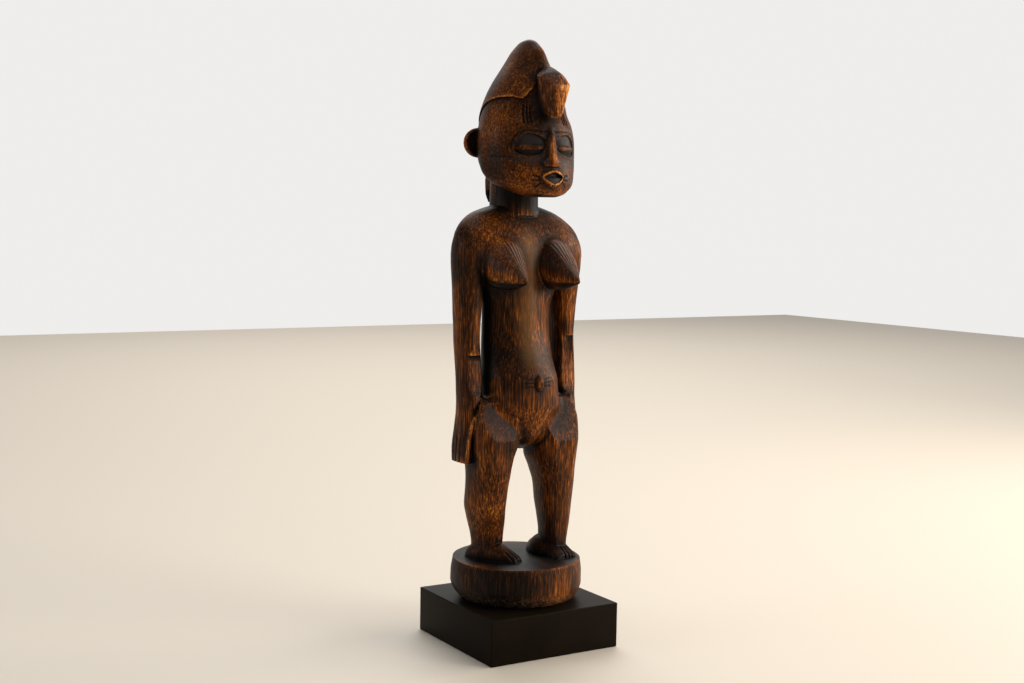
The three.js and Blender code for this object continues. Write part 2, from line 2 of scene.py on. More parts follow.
# # A carved standing figure on a square plinth
# This notebook dresses a imported CAD model: a woman carved with her round base from one
# block of dark waxed wood, and the painted square that it stands on. The imported model
# gives the plinth's size and the height of the figure's underside, and each step below
# makes one surface or one finish.

# %% The imported model
import itertools
import math
import bpy
import numpy as np
from mathutils import Matrix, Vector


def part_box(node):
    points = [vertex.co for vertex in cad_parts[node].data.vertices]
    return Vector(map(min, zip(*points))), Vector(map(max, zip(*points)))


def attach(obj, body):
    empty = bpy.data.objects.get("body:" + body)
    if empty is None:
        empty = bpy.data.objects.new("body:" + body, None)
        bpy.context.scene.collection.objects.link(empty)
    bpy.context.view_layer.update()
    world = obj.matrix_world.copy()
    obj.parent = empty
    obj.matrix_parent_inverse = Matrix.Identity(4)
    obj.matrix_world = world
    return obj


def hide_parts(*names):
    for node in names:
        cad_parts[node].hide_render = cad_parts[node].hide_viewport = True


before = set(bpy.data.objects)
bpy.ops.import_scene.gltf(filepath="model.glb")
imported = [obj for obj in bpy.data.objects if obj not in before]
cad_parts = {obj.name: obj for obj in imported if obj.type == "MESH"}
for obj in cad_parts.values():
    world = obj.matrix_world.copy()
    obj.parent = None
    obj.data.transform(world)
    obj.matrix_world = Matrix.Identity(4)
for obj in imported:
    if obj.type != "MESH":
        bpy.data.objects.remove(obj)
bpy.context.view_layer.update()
figure_low, figure_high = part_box("carved_figure")
plinth_low, plinth_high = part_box("square_plinth")
MM = 0.001
TINY = 1e-6
UNDERSIDE = figure_low[2] / MM
print("the figure stands", round((figure_high[2] - figure_low[2]) / MM, 1), "mm tall")

# %% [markdown]
# ## Why the figure isn't a grid
# A grid of two parameters wraps round one tube, and a body branches: legs leave the
# trunk, arms lie against it, a nose stands on a face. A carver thinks of the block
# instead, and takes wood away. So the figure is a field: one number for each point of
# space, about its distance to the wood, negative inside. Forms are joined and cut with
# a small soft edge, as a knife and years of handling leave them, and the skin is drawn
# where the number is zero.
#
# Inside the field, lengths are millimetres: x to the figure's left, f forward, and h
# up from its own underside.


# %% Joining and cutting
def melt(a, b, soft):
    """Join: the smaller of the two, less (soft - |a - b|) squared over 4 soft nearby."""
    overlap = np.maximum(soft - np.abs(a - b), 0.0)
    return np.minimum(a, b) - overlap * overlap / (4.0 * soft)


def cut(a, b, soft):
    """What is left of a after b is taken away, with an edge rounded as melt does."""
    return -melt(-a, b, soft)


def common(a, b, soft):
    """Where a and b overlap."""
    return -melt(-a, -b, soft)


def ease(value, start, end):
    """0 at start, 1 at end, and t * t * (3 - 2 t) between them."""
    t = np.clip((value - start) / (end - start), 0.0, 1.0)
    return t * t * (3.0 - 2.0 * t)


# %% [markdown]
# ## Ovals in a stack
# A limb, the trunk and the head are each a pile of ovals. A row gives the height, the
# half-width, the reach forward and back, how far ahead the middle lies, and how full the
# oval is: 2 is an ellipse, more is squarer, less is pointed. Limbs also give how far out
# the middle lies and how the oval is turned.


# %% Stack of ovals
def through(at, values, where):
    """A cubic through every row that never overshoots: each row's slope is the harmonic
    mean of its neighbours' slopes, or 0 where they disagree."""
    rate = np.diff(values) / np.diff(at)
    before = np.concatenate([rate[:1], rate])
    after = np.concatenate([rate, rate[-1:]])
    same = before * after > 0
    slope = np.where(same, 2 * before * after / np.where(same, before + after, 1), 0)
    i = np.clip(np.searchsorted(at, where, side="right") - 1, 0, len(at) - 2)
    span = at[i + 1] - at[i]
    t = np.clip((where - at[i]) / span, 0, 1)
    rise = (values[i + 1] - values[i]) * t * t * (3 - 2 * t)
    return values[i] + rise + t * (1 - t) * ((1 - t) * slope[i] - t * slope[i + 1]) * span


def oval(across, along, half, reach, full):
    """(across ^ full + along ^ full) ^ (1 / full) - 1, over the length of its gradient,
    where across and along are shares of half and reach."""
    size = np.maximum((across ** full + along ** full) ** (1.0 / full), TINY)
    shares = ((across, half), (along, reach))
    slope = np.hypot(*((share / size) ** (full - 1) / span for share, span in shares))
    return (size - 1.0) / np.maximum(slope, TINY)


class Stack:
    """Rows of at, side, front, back, ahead, full, and out and turn where they aren't 0."""

    STEP = 0.25

    def __init__(self, rows):
        rows = np.array([row + (0,) * (8 - len(row)) for row in rows], float)
        self.low, self.high = rows[0, 0], rows[-1, 0]
        self.at = np.arange(self.low, self.high + self.STEP, self.STEP)
        self.columns = [through(rows[:, 0], column, self.at) for column in rows[:, 1:].T]

    def distance(self, x, f, h, grow=0.0):
        """In the plane of the oval, its distance. Past the two ends, the height left."""
        section = (np.interp(h, self.at, column) for column in self.columns)
        side, front, back, ahead, full, out, turn = section
        along = f - ahead
        reach = np.where(along > 0, front, back) + grow
        half = side + grow
        across = np.abs(x - (out - turn * along)) / half
        past = np.maximum(self.low - h, h - self.high)
        return np.maximum(oval(across, np.abs(along) / reach, half, reach, full), past)


TORSO = Stack([
    (157, 6, 8, 16, -4, 2), (164, 15, 21, 30, -2, 2), (176, 24, 28, 35, 0, 2),
    (190, 33, 32, 36, 0, 2), (205, 41.5, 36, 37, 0, 2.1, -0.4),
    (229, 41.4, 36.8, 37, -1, 2.1, -2.2), (250, 39.5, 33, 34, -5, 1.95, -2.4),
    (268, 39, 30.6, 30, -9, 1.85, -1.9), (284, 38.3, 29.8, 28.5, -10.8, 1.8, -1.7),
    (303, 38.8, 29.3, 28, -11.4, 1.8, -1.2), (325, 45.5, 27.6, 28, -11.4, 2),
    (345, 61, 26.5, 29, -10.8, 2.6), (360, 73.2, 26.5, 29, -10.8, 2.7),
    (370, 74.2, 26, 28.5, -11.7, 2.6), (379, 72.4, 25, 27, -13.2, 2.4),
    (387, 68.5, 24, 25.5, -15.2, 2.25), (395, 61, 23.5, 23.5, -18.4, 2.1),
    (402, 50.6, 22, 21, -20.6, 2), (408, 34, 20, 19, -21, 2), (411, 22, 17, 17, -21, 2),
])
NECK = Stack([
    (400, 25.4, 25.4, 25.4, -20.6, 2.1), (446, 24.6, 24.6, 24.6, -20.6, 2.1),
])
ARM = Stack([
    (145.5, 6.2, 16.5, 17, -9.5, 2.6, 64.2), (160, 6.6, 17, 18, -10, 2.6, 63.6),
    (180, 8.4, 17, 18, -8.8, 2.5, 60.8), (196, 10, 16.5, 17, -8, 2.4, 58.8),
    (213, 11.6, 16, 16.5, -9, 2.4, 57), (230, 12.2, 15.5, 16, -9.8, 2.4, 57),
    (252, 11.5, 16, 17, -12.2, 2.4, 57.6), (277, 11.6, 17.2, 17.5, -15, 2.3, 57.8),
    (302, 13.4, 18, 17.5, -14.8, 2.2, 58), (330, 14, 19.6, 19, -13.4, 2.2, 59),
    (350, 14.1, 22.6, 20, -13.5, 2.2, 60), (366, 11, 20.5, 17, -14, 2.2, 61),
    (378, 5, 11, 8, -16, 2, 61),
])
THIGH = [
    (168, 26, 32, 30, 0.5, 2.6, 37), (188, 23.5, 31.5, 30, 0, 2.5, 38.5),
    (202, 19, 23, 27, -1, 2.3, 42), (213, 12, 11, 20, -3, 2, 45),
]
RIGHT_LEG = Stack([
    (42, 13.8, 16.6, 16.6, -8.3, 2.3, 33.4, 0.15), (56, 13.6, 16.4, 16.4, -8.3, 2.3, 33.7, 0.15),
    (66, 14.1, 17.5, 17.5, -8.3, 2.3, 34.1, 0.15), (84, 16.2, 21, 21.4, -6, 2.3, 36.9, 0.14),
    (101, 17.5, 24, 24.7, -3.4, 2.3, 39.4, 0.11), (118, 18.3, 25.2, 25.6, -0.6, 2.3, 39.5, 0.07),
    (134, 20, 27.8, 27.8, 1.4, 2.3, 39.3, 0.02), (150, 22.6, 30.2, 28.6, 1, 2.4, 38.6),
] + THIGH)
LEFT_LEG = Stack([
    (42, 13.6, 20.4, 20.4, 5, 2.3, 38.8, 0.12), (56, 13.4, 20.3, 20.3, 5, 2.3, 39.3, 0.12),
    (66, 14, 21.2, 21.2, 5, 2.3, 39.8, 0.12), (84, 16.4, 23.6, 24, 3, 2.3, 41, 0.12),
    (101, 18.6, 25.7, 26, 1, 2.3, 41.5, 0.11), (118, 19.8, 26.8, 27, 1.6, 2.3, 41, 0.07),
    (134, 21.8, 29, 29, 1.4, 2.3, 38.8, 0.02), (150, 25.2, 31, 29.5, 1, 2.4, 36.5),
] + THIGH)
HEAD = Stack([
    (419, 15, 15, 8, 31, 2.2), (421.5, 24, 21, 10, 28, 2.4), (426, 32, 31, 12, 20, 2.6),
    (432, 41.5, 42.5, 15, 10, 2.3), (438, 46.6, 50.5, 18, 3, 2.1), (446, 49.4, 53.5, 28, 0, 2),
    (455, 50.4, 51.8, 40, 0, 2), (464, 51, 50.2, 45, 0, 2), (473, 51.2, 49.2, 47.5, 0, 2),
    (482, 50.3, 48.4, 49, 0, 1.98), (492, 48.2, 46.6, 49.8, -0.2, 1.95),
    (504, 44.7, 42.8, 50.2, -1.4, 1.87), (514, 41.4, 41.3, 49.4, -0.8, 1.88),
    (524, 37, 40, 48, 0, 1.9), (536, 30, 36.5, 44.5, 0, 1.9), (548, 22, 32, 38, 0, 1.9),
    (558, 15.8, 29, 31, 0, 1.9), (566, 11.4, 26, 25, 0, 1.9), (573, 7, 18, 17.5, 1, 1.9),
    (577.5, 3.6, 9.5, 10.5, 2.5, 2), (579.3, 0.8, 2.5, 2.5, 4, 2),
])
BRAID = Stack([
    (414, 8.5, 2, 2.4, -58.5, 3), (424, 10, 3, 3.2, -61.8, 3), (436, 10, 26, 4, -62.5, 3),
    (455, 10, 22, 5, -54, 3), (468, 9, 10, 3, -47, 3),
])
BASE = Stack([
    (0, 58, 58, 58, 0, 2, -1), (3, 62, 61.5, 63, 0, 2, -1), (10, 67, 66, 68.5, 0, 2, -1.6),
    (18, 69.2, 67.5, 70.5, 0, 2, -2), (29, 69, 67.5, 70, 0, 2, -2),
    (40, 67.4, 66.6, 68.4, 0, 2, -2), (43, 67, 66.3, 68, 0, 2, -2),
])
BASE_TOP = 42.0
print("eight stacks, the tallest the head:", HEAD.high - HEAD.low, "mm")

# %% [markdown]
# ## Small forms and knife lines
# An egg hollows the ears and rounds the buttocks. A gem is a solid of flat
# facets, for the lock of hair and the nose. A knife line is no solid at all: it lowers
# the surface along a path drawn on it, so it follows every curve at one depth.


# %% Egg, gem, rod and knife line
def egg(x, f, h, across, deep, tall):
    """With k = |p / radii| and m = |p / radii squared|, the distance is k (k - 1) / m."""
    k = np.sqrt((x / across) ** 2 + (f / deep) ** 2 + (h / tall) ** 2)
    m = np.sqrt((x / across ** 2) ** 2 + (f / deep ** 2) ** 2 + (h / tall ** 2) ** 2)
    return k * (k - 1.0) / np.maximum(m, TINY)


def facets(corners):
    """The faces of the smallest convex solid round some corners: every plane through
    three of them that leaves all the others on one side, as unit normal and level."""
    corners = np.array(corners, float)
    threes = np.array(list(itertools.combinations(range(len(corners)), 3)))
    a, b, c = (corners[threes[:, i]] for i in range(3))
    normal = np.cross(b - a, c - a)
    size = np.linalg.norm(normal, axis=1)
    flat = size > TINY
    normal = normal[flat] / size[flat, None]
    level = (normal * a[flat]).sum(1)
    heights = corners @ normal.T - level
    outward = heights.max(0) < 10 * TINY
    inward = heights.min(0) > -10 * TINY
    planes = np.vstack([
        np.column_stack([normal[outward], level[outward]]),
        -np.column_stack([normal[inward], level[inward]]),
    ])
    return np.unique(np.round(planes, 4), axis=0)


def gem(planes, x, f, h, soft):
    """The greatest height over any facet, with the edges between facets softened."""
    inside = None
    for nx, nf, nh, level in planes:
        height = nx * x + nf * f + nh * h - level
        inside = height if inside is None else common(inside, height, soft)
    return inside


def both_sides(corners):
    """Each corner and its mirror image."""
    return [(side * x, f, h) for x, f, h in corners for side in (1, -1)]


def rod(x, f, h, a, b, thick):
    """The distance to the line from a to b, less a thickness."""
    ab = np.subtract(b, a)
    t = ((x - a[0]) * ab[0] + (f - a[1]) * ab[1] + (h - a[2]) * ab[2]) / (ab @ ab)
    t = np.clip(t, 0, 1)
    return np.sqrt(sum((v - a[i] - t * ab[i]) ** 2 for i, v in enumerate((x, f, h)))) - thick


def from_line(u, v, a, b):
    """The distance in a flat view from the line a to b."""
    ab = np.subtract(b, a)
    t = np.clip(((u - a[0]) * ab[0] + (v - a[1]) * ab[1]) / (ab @ ab), 0, 1)
    return np.hypot(u - a[0] - t * ab[0], v - a[1] - t * ab[1])


def from_path(u, v, path):
    """The least distance from any stretch of a path."""
    return np.minimum.reduce([from_line(u, v, a, b) for a, b in zip(path[:-1], path[1:])])


def knife(field, away, width, depth, where=1.0):
    """Adds depth (1 - |away| / half width), where that is above 0: a V-shaped line."""
    return field + depth * np.clip(1.0 - np.abs(away) / (width / 2), 0, 1) * where


FAR = 25.0


def near(part, low, high, x, f, h, *hand):
    """Works a part out only for points in a box round it, to save time."""
    inside = np.ones(x.shape, bool)
    for place, least, most in zip((x, f, h), low, high):
        inside &= (place > least) & (place < most)
    field = np.full(x.shape, FAR)
    field[inside] = np.minimum(part(x[inside], f[inside], h[inside], *hand), FAR)
    return field


# %% [markdown]
# ## The head
# The hair is a smooth cap that stands a little proud of the head, cut to a peak over
# each temple, with a faceted lock standing over the forehead and a flat braid down the
# nape. The eyes are half-closed lids in shallow sockets under a double brow.

# %% Head, cap of hair, lock and braid
CAP_RELIEF = 1.7
CAP_GROOVE = dict(width=1.8, depth=0.6)
HAIRLINE_SIDE = np.array([
    (-80, 438), (-43, 440), (-41, 478), (-34, 496), (-22, 508), (-8, 515),
    (10, 518.5), (25, 518.8), (36, 516), (60, 506),
], float)
HAIRLINE_FRONT = ((24.5, 515.6), (9.5, 533.5))
FRONT_FROM = 5.0
NO_LIMIT = -9.0
LOCK = facets(both_sides([
    (8.8, 69.2, 529), (2.7, 64.4, 499.6), (17, 48, 538.5), (12.5, 44, 522), (10, 50.8, 510),
    (4.9, 58.4, 497.2), (8, 55, 541.5), (12, 40, 541), (5, 36, 505),
    (0, 67.6, 537.3), (0, 63.5, 541), (0, 56, 545.2), (0, 45, 549.5), (0, 36, 549.5),
]))


def below_hairline(x, f, h):
    """How far a point lies under the cap's edge: seen from the side, the drop to the
    line shortened by its slope, and in front, the way in from the line to the lock."""
    line, ahead, behind = (np.interp(f + by, *HAIRLINE_SIDE.T) for by in (0, 0.5, -0.5))
    side = (line - h) / np.sqrt(1.0 + (ahead - behind) ** 2)
    (x0, h0), (x1, h1) = HAIRLINE_FRONT
    length = math.hypot(x1 - x0, h1 - h0)
    front = ((x0 - np.abs(x)) * (h1 - h0) - (h - h0) * (x0 - x1)) / length
    return np.maximum(side, np.where(f > FRONT_FROM, front, NO_LIMIT))


def skull(x, f, h):
    """The bare head, grooved under the cap's edge, with the cap and the braid on it."""
    bare = HEAD.distance(x, f, h)
    under = below_hairline(x, f, h)
    bare = knife(bare, under - 0.5, **CAP_GROOVE)
    cap = common(HEAD.distance(x, f, h, grow=CAP_RELIEF), under, 0.6)
    braid = BRAID.distance(x, f, h)
    return melt(melt(bare, cap, 0.2), braid, 1.0)


# %% Ears: round dishes that look forward
EAR = dict(radius=15.2, half=3.6, out=43.2, forward=-22.0, height=474.0, turn=math.radians(18))
EAR_DISH = (12.2, 3.6, 12.2)


def ear(x, f, h):
    """A disc with a round edge, hollowed in front by an egg."""
    out, ahead, up = x - EAR["out"], f - EAR["forward"], h - EAR["height"]
    front = ahead * math.cos(EAR["turn"]) + out * math.sin(EAR["turn"])
    side = out * math.cos(EAR["turn"]) - ahead * math.sin(EAR["turn"])
    away = np.hypot(side, up)
    disc = common(away - EAR["radius"], np.abs(front) - EAR["half"], 2.6)
    return cut(disc, egg(side, front - EAR["half"], up, *EAR_DISH), 1.0)


# %% Eyes: half-closed lids with a level ridge, under a brow of two lines
EYE = dict(out=20.7, forward=42.0, turn=math.radians(23), ridge=469.2)
LID = dict(bulge=1.1, above=2.6, below=1.7, ends=0.7)
RIM_RISE = dict(upper=0.5, lower=0.4)
UPPER_RIM = np.array([
    (-18, 474.5), (-14, 476.8), (-7, 480.6), (2, 481.9), (9.6, 478.2), (14.2, 472.4), (16.4, 466),
])
LOWER_RIM = np.array([
    (-16, 468.5), (-10.7, 462.6), (-4, 460.4), (2, 459.6), (9, 460.8), (14, 463.6), (16.4, 466),
])
BROW_LINE = [
    (-19, 484.0), (-10.7, 484.6), (-0.5, 485.0), (6, 484.6), (11, 482.8), (14.9, 479.4),
    (17.6, 474), (18.6, 467),
]
BROW_CUT = dict(width=1.7, depth=0.8)


def along_face(x, f):
    """The way outward along the turned front of the face, from the eye's middle."""
    turn = EYE["turn"]
    return (x - EYE["out"]) * math.cos(turn) - (f - EYE["forward"]) * math.sin(turn)


def eye(face, x, f, h):
    """A relief over the way along the face and the height. Above the ridge the lid
    slopes in to the upper rim, below it bulges to the lower rim; a thin raised rim and
    a knife line run over both."""
    along, ridge = along_face(x, f), EYE["ridge"]
    upper = through(*UPPER_RIM.T, along)
    lower = through(*LOWER_RIM.T, along)
    rise = np.clip((h - ridge) / np.maximum(upper - ridge, 1.0), 0, 1.0)
    fall = np.clip((ridge - h) / np.maximum(ridge - lower, 1.0), 0, 1.0)
    ends = ease(along, 13.0, 7.0) * ease(along, -14.5, -8.5)
    top_in = LID["above"] * rise * (0.45 + 0.55 * ease(along, 12, -8))
    under_in = LID["below"] * ease(fall, 0.42, 0.95)
    bulge = LID["bulge"] * ends * np.exp(-((h - ridge + 1.2) / 2.4) ** 4)
    lid = bulge - top_in - under_in - LID["ends"] * (1 - ends)
    inside = ease(upper - h, -0.6, 1.4) * ease(h - lower, -1.2, 1.4)
    inside = inside * ease(np.abs(along), 16.8, 14.2)
    rim = np.exp(-((h - upper - 0.9) / 0.9) ** 2) * ease(along, -20, -12) * ease(along, 17.5, 13)
    lower_rim = np.exp(-((lower - h - 1.0) / 1.0) ** 2) * ease(np.abs(along), 15.0, 9)
    front = ease(f, 8, 16)
    rims = RIM_RISE["upper"] * rim + RIM_RISE["lower"] * lower_rim
    face = face - front * (lid * inside + rims * (1 - inside))
    brow = from_path(along, h, BROW_LINE)
    return knife(face, brow, **BROW_CUT, where=front * ease(x, 2.5, 6.0))


# %% Nose: a narrow ridge between steep flanks, and two short wings
NOSE_RIDGE = facets(both_sides([
    (0.5, 44.0, 490), (1.2, 48.6, 485.5), (1.8, 53.5, 480), (2.0, 54.6, 472),
    (2.6, 54.9, 462), (2.7, 58.2, 453.2), (2.5, 57.2, 449.2),
    (2.0, 40, 490), (7.4, 42, 480), (7.6, 40, 464), (7.6, 40, 450),
]))
NOSE_WINGS = facets(both_sides([
    (2.7, 58.2, 453.0), (2.4, 57.2, 449.2), (10.6, 54.2, 453.9), (9.4, 53.2, 449.0),
    (3.2, 54.8, 460.5), (10.6, 42, 454.4), (9.4, 42, 449.0), (5, 42, 462),
]))


def nose(x, f, h):
    return melt(gem(NOSE_RIDGE, x, f, h, 0.5), gem(NOSE_WINGS, x, f, h, 0.6), 1.0)


# %% Mouth: almond lips, open over a smooth lower plane
LIPS = dict(height=439.3, width=12.4, up=6.9, down=10.8, pointed=1.5)
OPENING = dict(height=438.9, width=10.8, up=4.2, down=6.7, pointed=1.4)
LIP_FRONT = dict(forward=58.4, bow_across=0.022, bow_up=0.010, height=439.0)
PAN = dict(top=438.4, hole=5.2, deep=0.9, slope=0.16, low=432.0)


def almond(x, h, height, width, up, down, pointed):
    """An oval of low fullness, which is taller below its widest line than above."""
    tall = np.where(h > height, up, down)
    return oval(np.abs(x) / width, np.abs(h - height) / tall, width, tall, pointed)


def mouth(face, x, f, h):
    """Lips: an almond pillar with a bowed front. The opening is deep in its upper part
    and a shallow pan in its lower part."""
    front = LIP_FRONT["forward"] - LIP_FRONT["bow_across"] * x * x
    front = front - LIP_FRONT["bow_up"] * (h - LIP_FRONT["height"]) ** 2
    lips = common(almond(x, h, **LIPS), f - front, 1.4)
    face = melt(face, np.maximum(lips, 40.0 - f), 0.9)
    pan = PAN["deep"] + PAN["slope"] * (h - PAN["low"])
    depth = np.where(h > PAN["top"], PAN["hole"], pan)
    opening = common(almond(x, h, **OPENING), (front - depth) - f, 0.7)
    return cut(face, opening, 0.5)


# %% Scars on the face, as the carver drew them
TEMPLE_CUTS = [
    ((22.9, 510.4), (25.7, 492.5)), ((19.9, 510.4), (22.5, 492.5)), ((16.9, 510.4), (19.3, 492.5)),
]
MOUTH_CUTS = [
    ((14.2, 438.6), (20.5, 440.4)), ((14.0, 436.0), (20.8, 435.2)), ((13.2, 432.6), (18.0, 428.6)),
]
LIP_NOTCHES = [
    ((-2.4, 430.6), (-2.6, 427.6)), ((0.2, 430.2), (0.2, 427.2)), ((2.8, 430.6), (3.0, 427.6)),
]
CHEEK_LINE = ((14, 458.6), (36, 458.6))


def scars(field, x, f, h):
    """Each set of cuts at its own width and depth, and one thin line on each cheek."""
    out = np.abs(x)
    sets = ((TEMPLE_CUTS, out, 1.8, 1.8), (MOUTH_CUTS, out, 1.3, 0.9), (LIP_NOTCHES, x, 0.9, 0.7))
    for cuts, across, width, depth in sets:
        for a, b in cuts:
            field = knife(field, from_line(across, h, a, b), width, depth, ease(f, 8, 14))
    return knife(field, from_line(f, h, *CHEEK_LINE), 1.2, 0.45, ease(out, 20, 24))


# %% The whole head
CHEEK_HOLLOW = dict(height=452.5, tall=6.0, out=19.0, wide=13.0, deep=1.2)


def head(x, f, h):
    """The skull with hollow cheeks, then each feature, both sides alike."""
    field = skull(x, f, h)
    out, at = np.abs(x), CHEEK_HOLLOW
    hollow = np.exp(-((h - at["height"]) / at["tall"]) ** 2 - ((out - at["out"]) / at["wide"]) ** 2)
    field = eye(field + at["deep"] * (hollow * ease(f, 10, 20)), out, f, h)
    field = melt(field, nose(x, f, h), 1.0 + 1.4 * ease(h, 478, 486))
    field = mouth(field, x, f, h)
    field = scars(field, x, f, h)
    field = melt(field, ear(out, f, h), 1.2)
    return melt(field, gem(LOCK, x, f, h, 0.4), 0.4)


# %% [markdown]
# ## The trunk, arms and breasts
# The trunk has a soft keel down its front. The arms lie against it from the shoulder,
# where they flow into it, to the hips, where the hands rest on the thighs.

# %% Breasts: cones, straight above and full below
BREAST_BASE = np.array((30.5, 10.0, 350.0))
BREAST_TIP = np.array((31.2, 58.0, 333.4))
BREAST_STOPS = (-0.15, 0.0, 0.18, 0.38, 0.6, 0.8, 0.93, 1.0, 1.03)
BREAST_ABOVE = (25.0, 24.6, 22.0, 17.8, 12.0, 6.6, 3.4, 1.6, 0.0)
BREAST_BELOW = (25.0, 25.0, 24.0, 21.3, 16.2, 9.4, 4.8, 2.2, 0.0)
BREAST_NARROW = 0.92
BREAST_END = 1.02
CONE_STEEPNESS = 0.8
LINE_COUNT = 4
FIRST_LINE = {-1: -12.6, 1: -7.2}
LINE_STEP = {-1: 4.8, 1: 4.6}


def along_breast(x, f, h):
    """The way along the axis as a share of its length, and the way off it across and up."""
    axis = BREAST_TIP - BREAST_BASE
    length = np.linalg.norm(axis)
    axis = axis / length
    px, pf, ph = x - BREAST_BASE[0], f - BREAST_BASE[1], h - BREAST_BASE[2]
    t = px * axis[0] + pf * axis[1] + ph * axis[2]
    rf, rh = pf - t * axis[1], ph - t * axis[2]
    return t / length, px - t * axis[0], rh * axis[1] - rf * axis[2], length


def breast(x, f, h):
    """Its radius runs along the axis from chest to tip, one run of stops above and
    another below, shared by the sine of the angle round the axis."""
    t, across, high, length = along_breast(x, f, h)
    radius = np.hypot(across / BREAST_NARROW, high)
    share = 0.5 + 0.5 * high / np.maximum(radius, TINY)
    above = np.interp(t, BREAST_STOPS, BREAST_ABOVE)
    below = np.interp(t, BREAST_STOPS, BREAST_BELOW)
    field = (radius - above * share - below * (1 - share)) * CONE_STEEPNESS
    return np.maximum(field, (t - BREAST_END) * length)


# %% Arms: planed flat in front below the elbow, with a thumb and fingers
ELBOW = {-1: 256.5, 1: 274.0}
PLANED = dict(forward=4.6, lean=0.085, wrist=212.0, swell=3.4)
THUMB = {
    -1: [(50.5, 6.6, 206.0), (59.5, 8.4, 190), (65.4, 7.8, 170), (67.6, 6.8, 147)],
    1: [(56.5, 6.5, 209), (58, 7.0, 204)],
}
THUMB_THICK = {-1: 2.4, 1: 3.6}
FINGER_LINES = [-19.0, -12.0, -5.0]


def arm(x, f, h, hand):
    """The stack, cut to a leaning plane from elbow to wrist, with a thumb of rods laid on
    the hand and three lines cut up from its edge."""
    field = ARM.distance(x, f, h)
    at, wrist = PLANED, PLANED["wrist"]
    planed = f - (at["forward"] - at["lean"] * (h - wrist) + at["swell"] * ease(h, 226, 208))
    field = cut(field, np.maximum(-planed, np.maximum(h - ELBOW[hand], wrist - h)), 0.4)
    for start, end in zip(THUMB[hand][:-1], THUMB[hand][1:]):
        field = melt(field, rod(x, f, h, start, end, THUMB_THICK[hand]), 0.8)
    for line in FINGER_LINES:
        away = from_line(f, h, (line, 143), (line + 1.5, 172))
        field = knife(field, away, 1.4, 1.2, ease(x, 60, 64))
    return field


# %% Trunk, with the navel between six short lines
NAVEL = dict(height=228.7, forward=36.2, radii=(4.6, 4.6, 7.6))
NAVEL_CUTS = [
    ((7.2, 232.6), (16.5, 234.2)), ((7.4, 229.0), (16.8, 229.6)), ((7.0, 225.6), (16.0, 224.8)),
]
KEEL = dict(high=1.3, wide=7.5)
RUMP = dict(out=23, back=24, height=184, radii=(24, 21, 30))


def trunk(x, f, h):
    """The stack with its keel, then the neck, the navel with its lines, and the rump."""
    keel = KEEL["high"] * np.exp(-(x / KEEL["wide"]) ** 2)
    keel = keel * ease(h, 222, 250) * ease(h, 375, 335) * ease(f, 0, 8)
    field = melt(TORSO.distance(x, f, h) - keel, NECK.distance(x, f, h), 2.6)
    out = np.abs(x)
    for a, b in NAVEL_CUTS:
        field = knife(field, from_line(out, h, a, b), 0.9, 0.6, ease(f, 8, 14))
    ahead, up = f - NAVEL["forward"], h - NAVEL["height"]
    knob = knife(egg(x, ahead, up, *NAVEL["radii"]), x, 1.2, 0.5)
    field = melt(field, knob, 0.6)
    rump = egg(out - RUMP["out"], f + RUMP["back"], h - RUMP["height"], *RUMP["radii"])
    return melt(field, rump, 4.0)


# %% [markdown]
# ## The legs and feet
# Each thigh has a bevel cut down its front to a crisp edge, and narrows to the ankle.
# The feet are lobes that wrap the ankles, with the toes parted by a few cuts. The right
# one turns in, the left one looks ahead.

# %% Legs
BEVEL_SLOPE = math.radians(66)
BEVEL_FRONT = 31.5
BEVEL_HEIGHT = {-1: 170.0, 1: 166.0}
SHIN = dict(front=31.3, lean=0.06, height=168.0)
HAND_GAP = dict(level=77.1, lean=0.168, taper=9.0, back=2.0, top=216.0)
GAP_ACROSS, GAP_ALONG = 0.857, 0.515


def leg(x, f, h, hand):
    """The stack cut to a leaning shin and a bevel. Beside the right hand, the thigh is
    also cut back to a leaning plane that faces the hand."""
    stack = RIGHT_LEG if hand < 0 else LEFT_LEG
    ahead, up = f - BEVEL_FRONT, h - BEVEL_HEIGHT[hand]
    bevel = ahead * math.sin(BEVEL_SLOPE) + up * math.cos(BEVEL_SLOPE)
    shin = f - SHIN["front"] + SHIN["lean"] * (SHIN["height"] - h)
    field = common(common(stack.distance(x, f, h), shin, 0.5), bevel, 0.4)
    if hand > 0:
        return field
    gap = HAND_GAP
    plane = gap["level"] - gap["lean"] * h + gap["taper"] * ease(h, 156, 143)
    plane = plane - (GAP_ACROSS * x - GAP_ALONG * f)
    hollow = np.maximum(plane, np.maximum(gap["back"] - f, h - gap["top"]))
    return cut(field, hollow, 1.0)


# %% Feet
FEET = {-1: ((45.5, -27.0), (16.5, 29.0), 0.58), 1: ((33.5, -25.0), (38.0, 36.0), 1.0)}
FOOT_ALONG = np.array((0.0, 0.07, 0.18, 0.36, 0.64, 0.8, 0.93, 1.0))
FOOT_SIDE = np.array((7.0, 11.5, 14.6, 15.4, 15.4, 15.6, 15.0, 12.0))
FOOT_UP = np.array((8.0, 13.0, 16.0, 20.0, 18.0, 13.0, 8.5, 5.5))
ANKLE_BALL = dict(out=33.0, forward=1.0, radii=(18.5, 22.0, 21.3))
TOE_LINES = {-1: (-9.0, -3.0, 3.0, 9.0), 1: (-11.0, -7.0, -3.0, 1.5)}
FOOT_FULL = 2.5


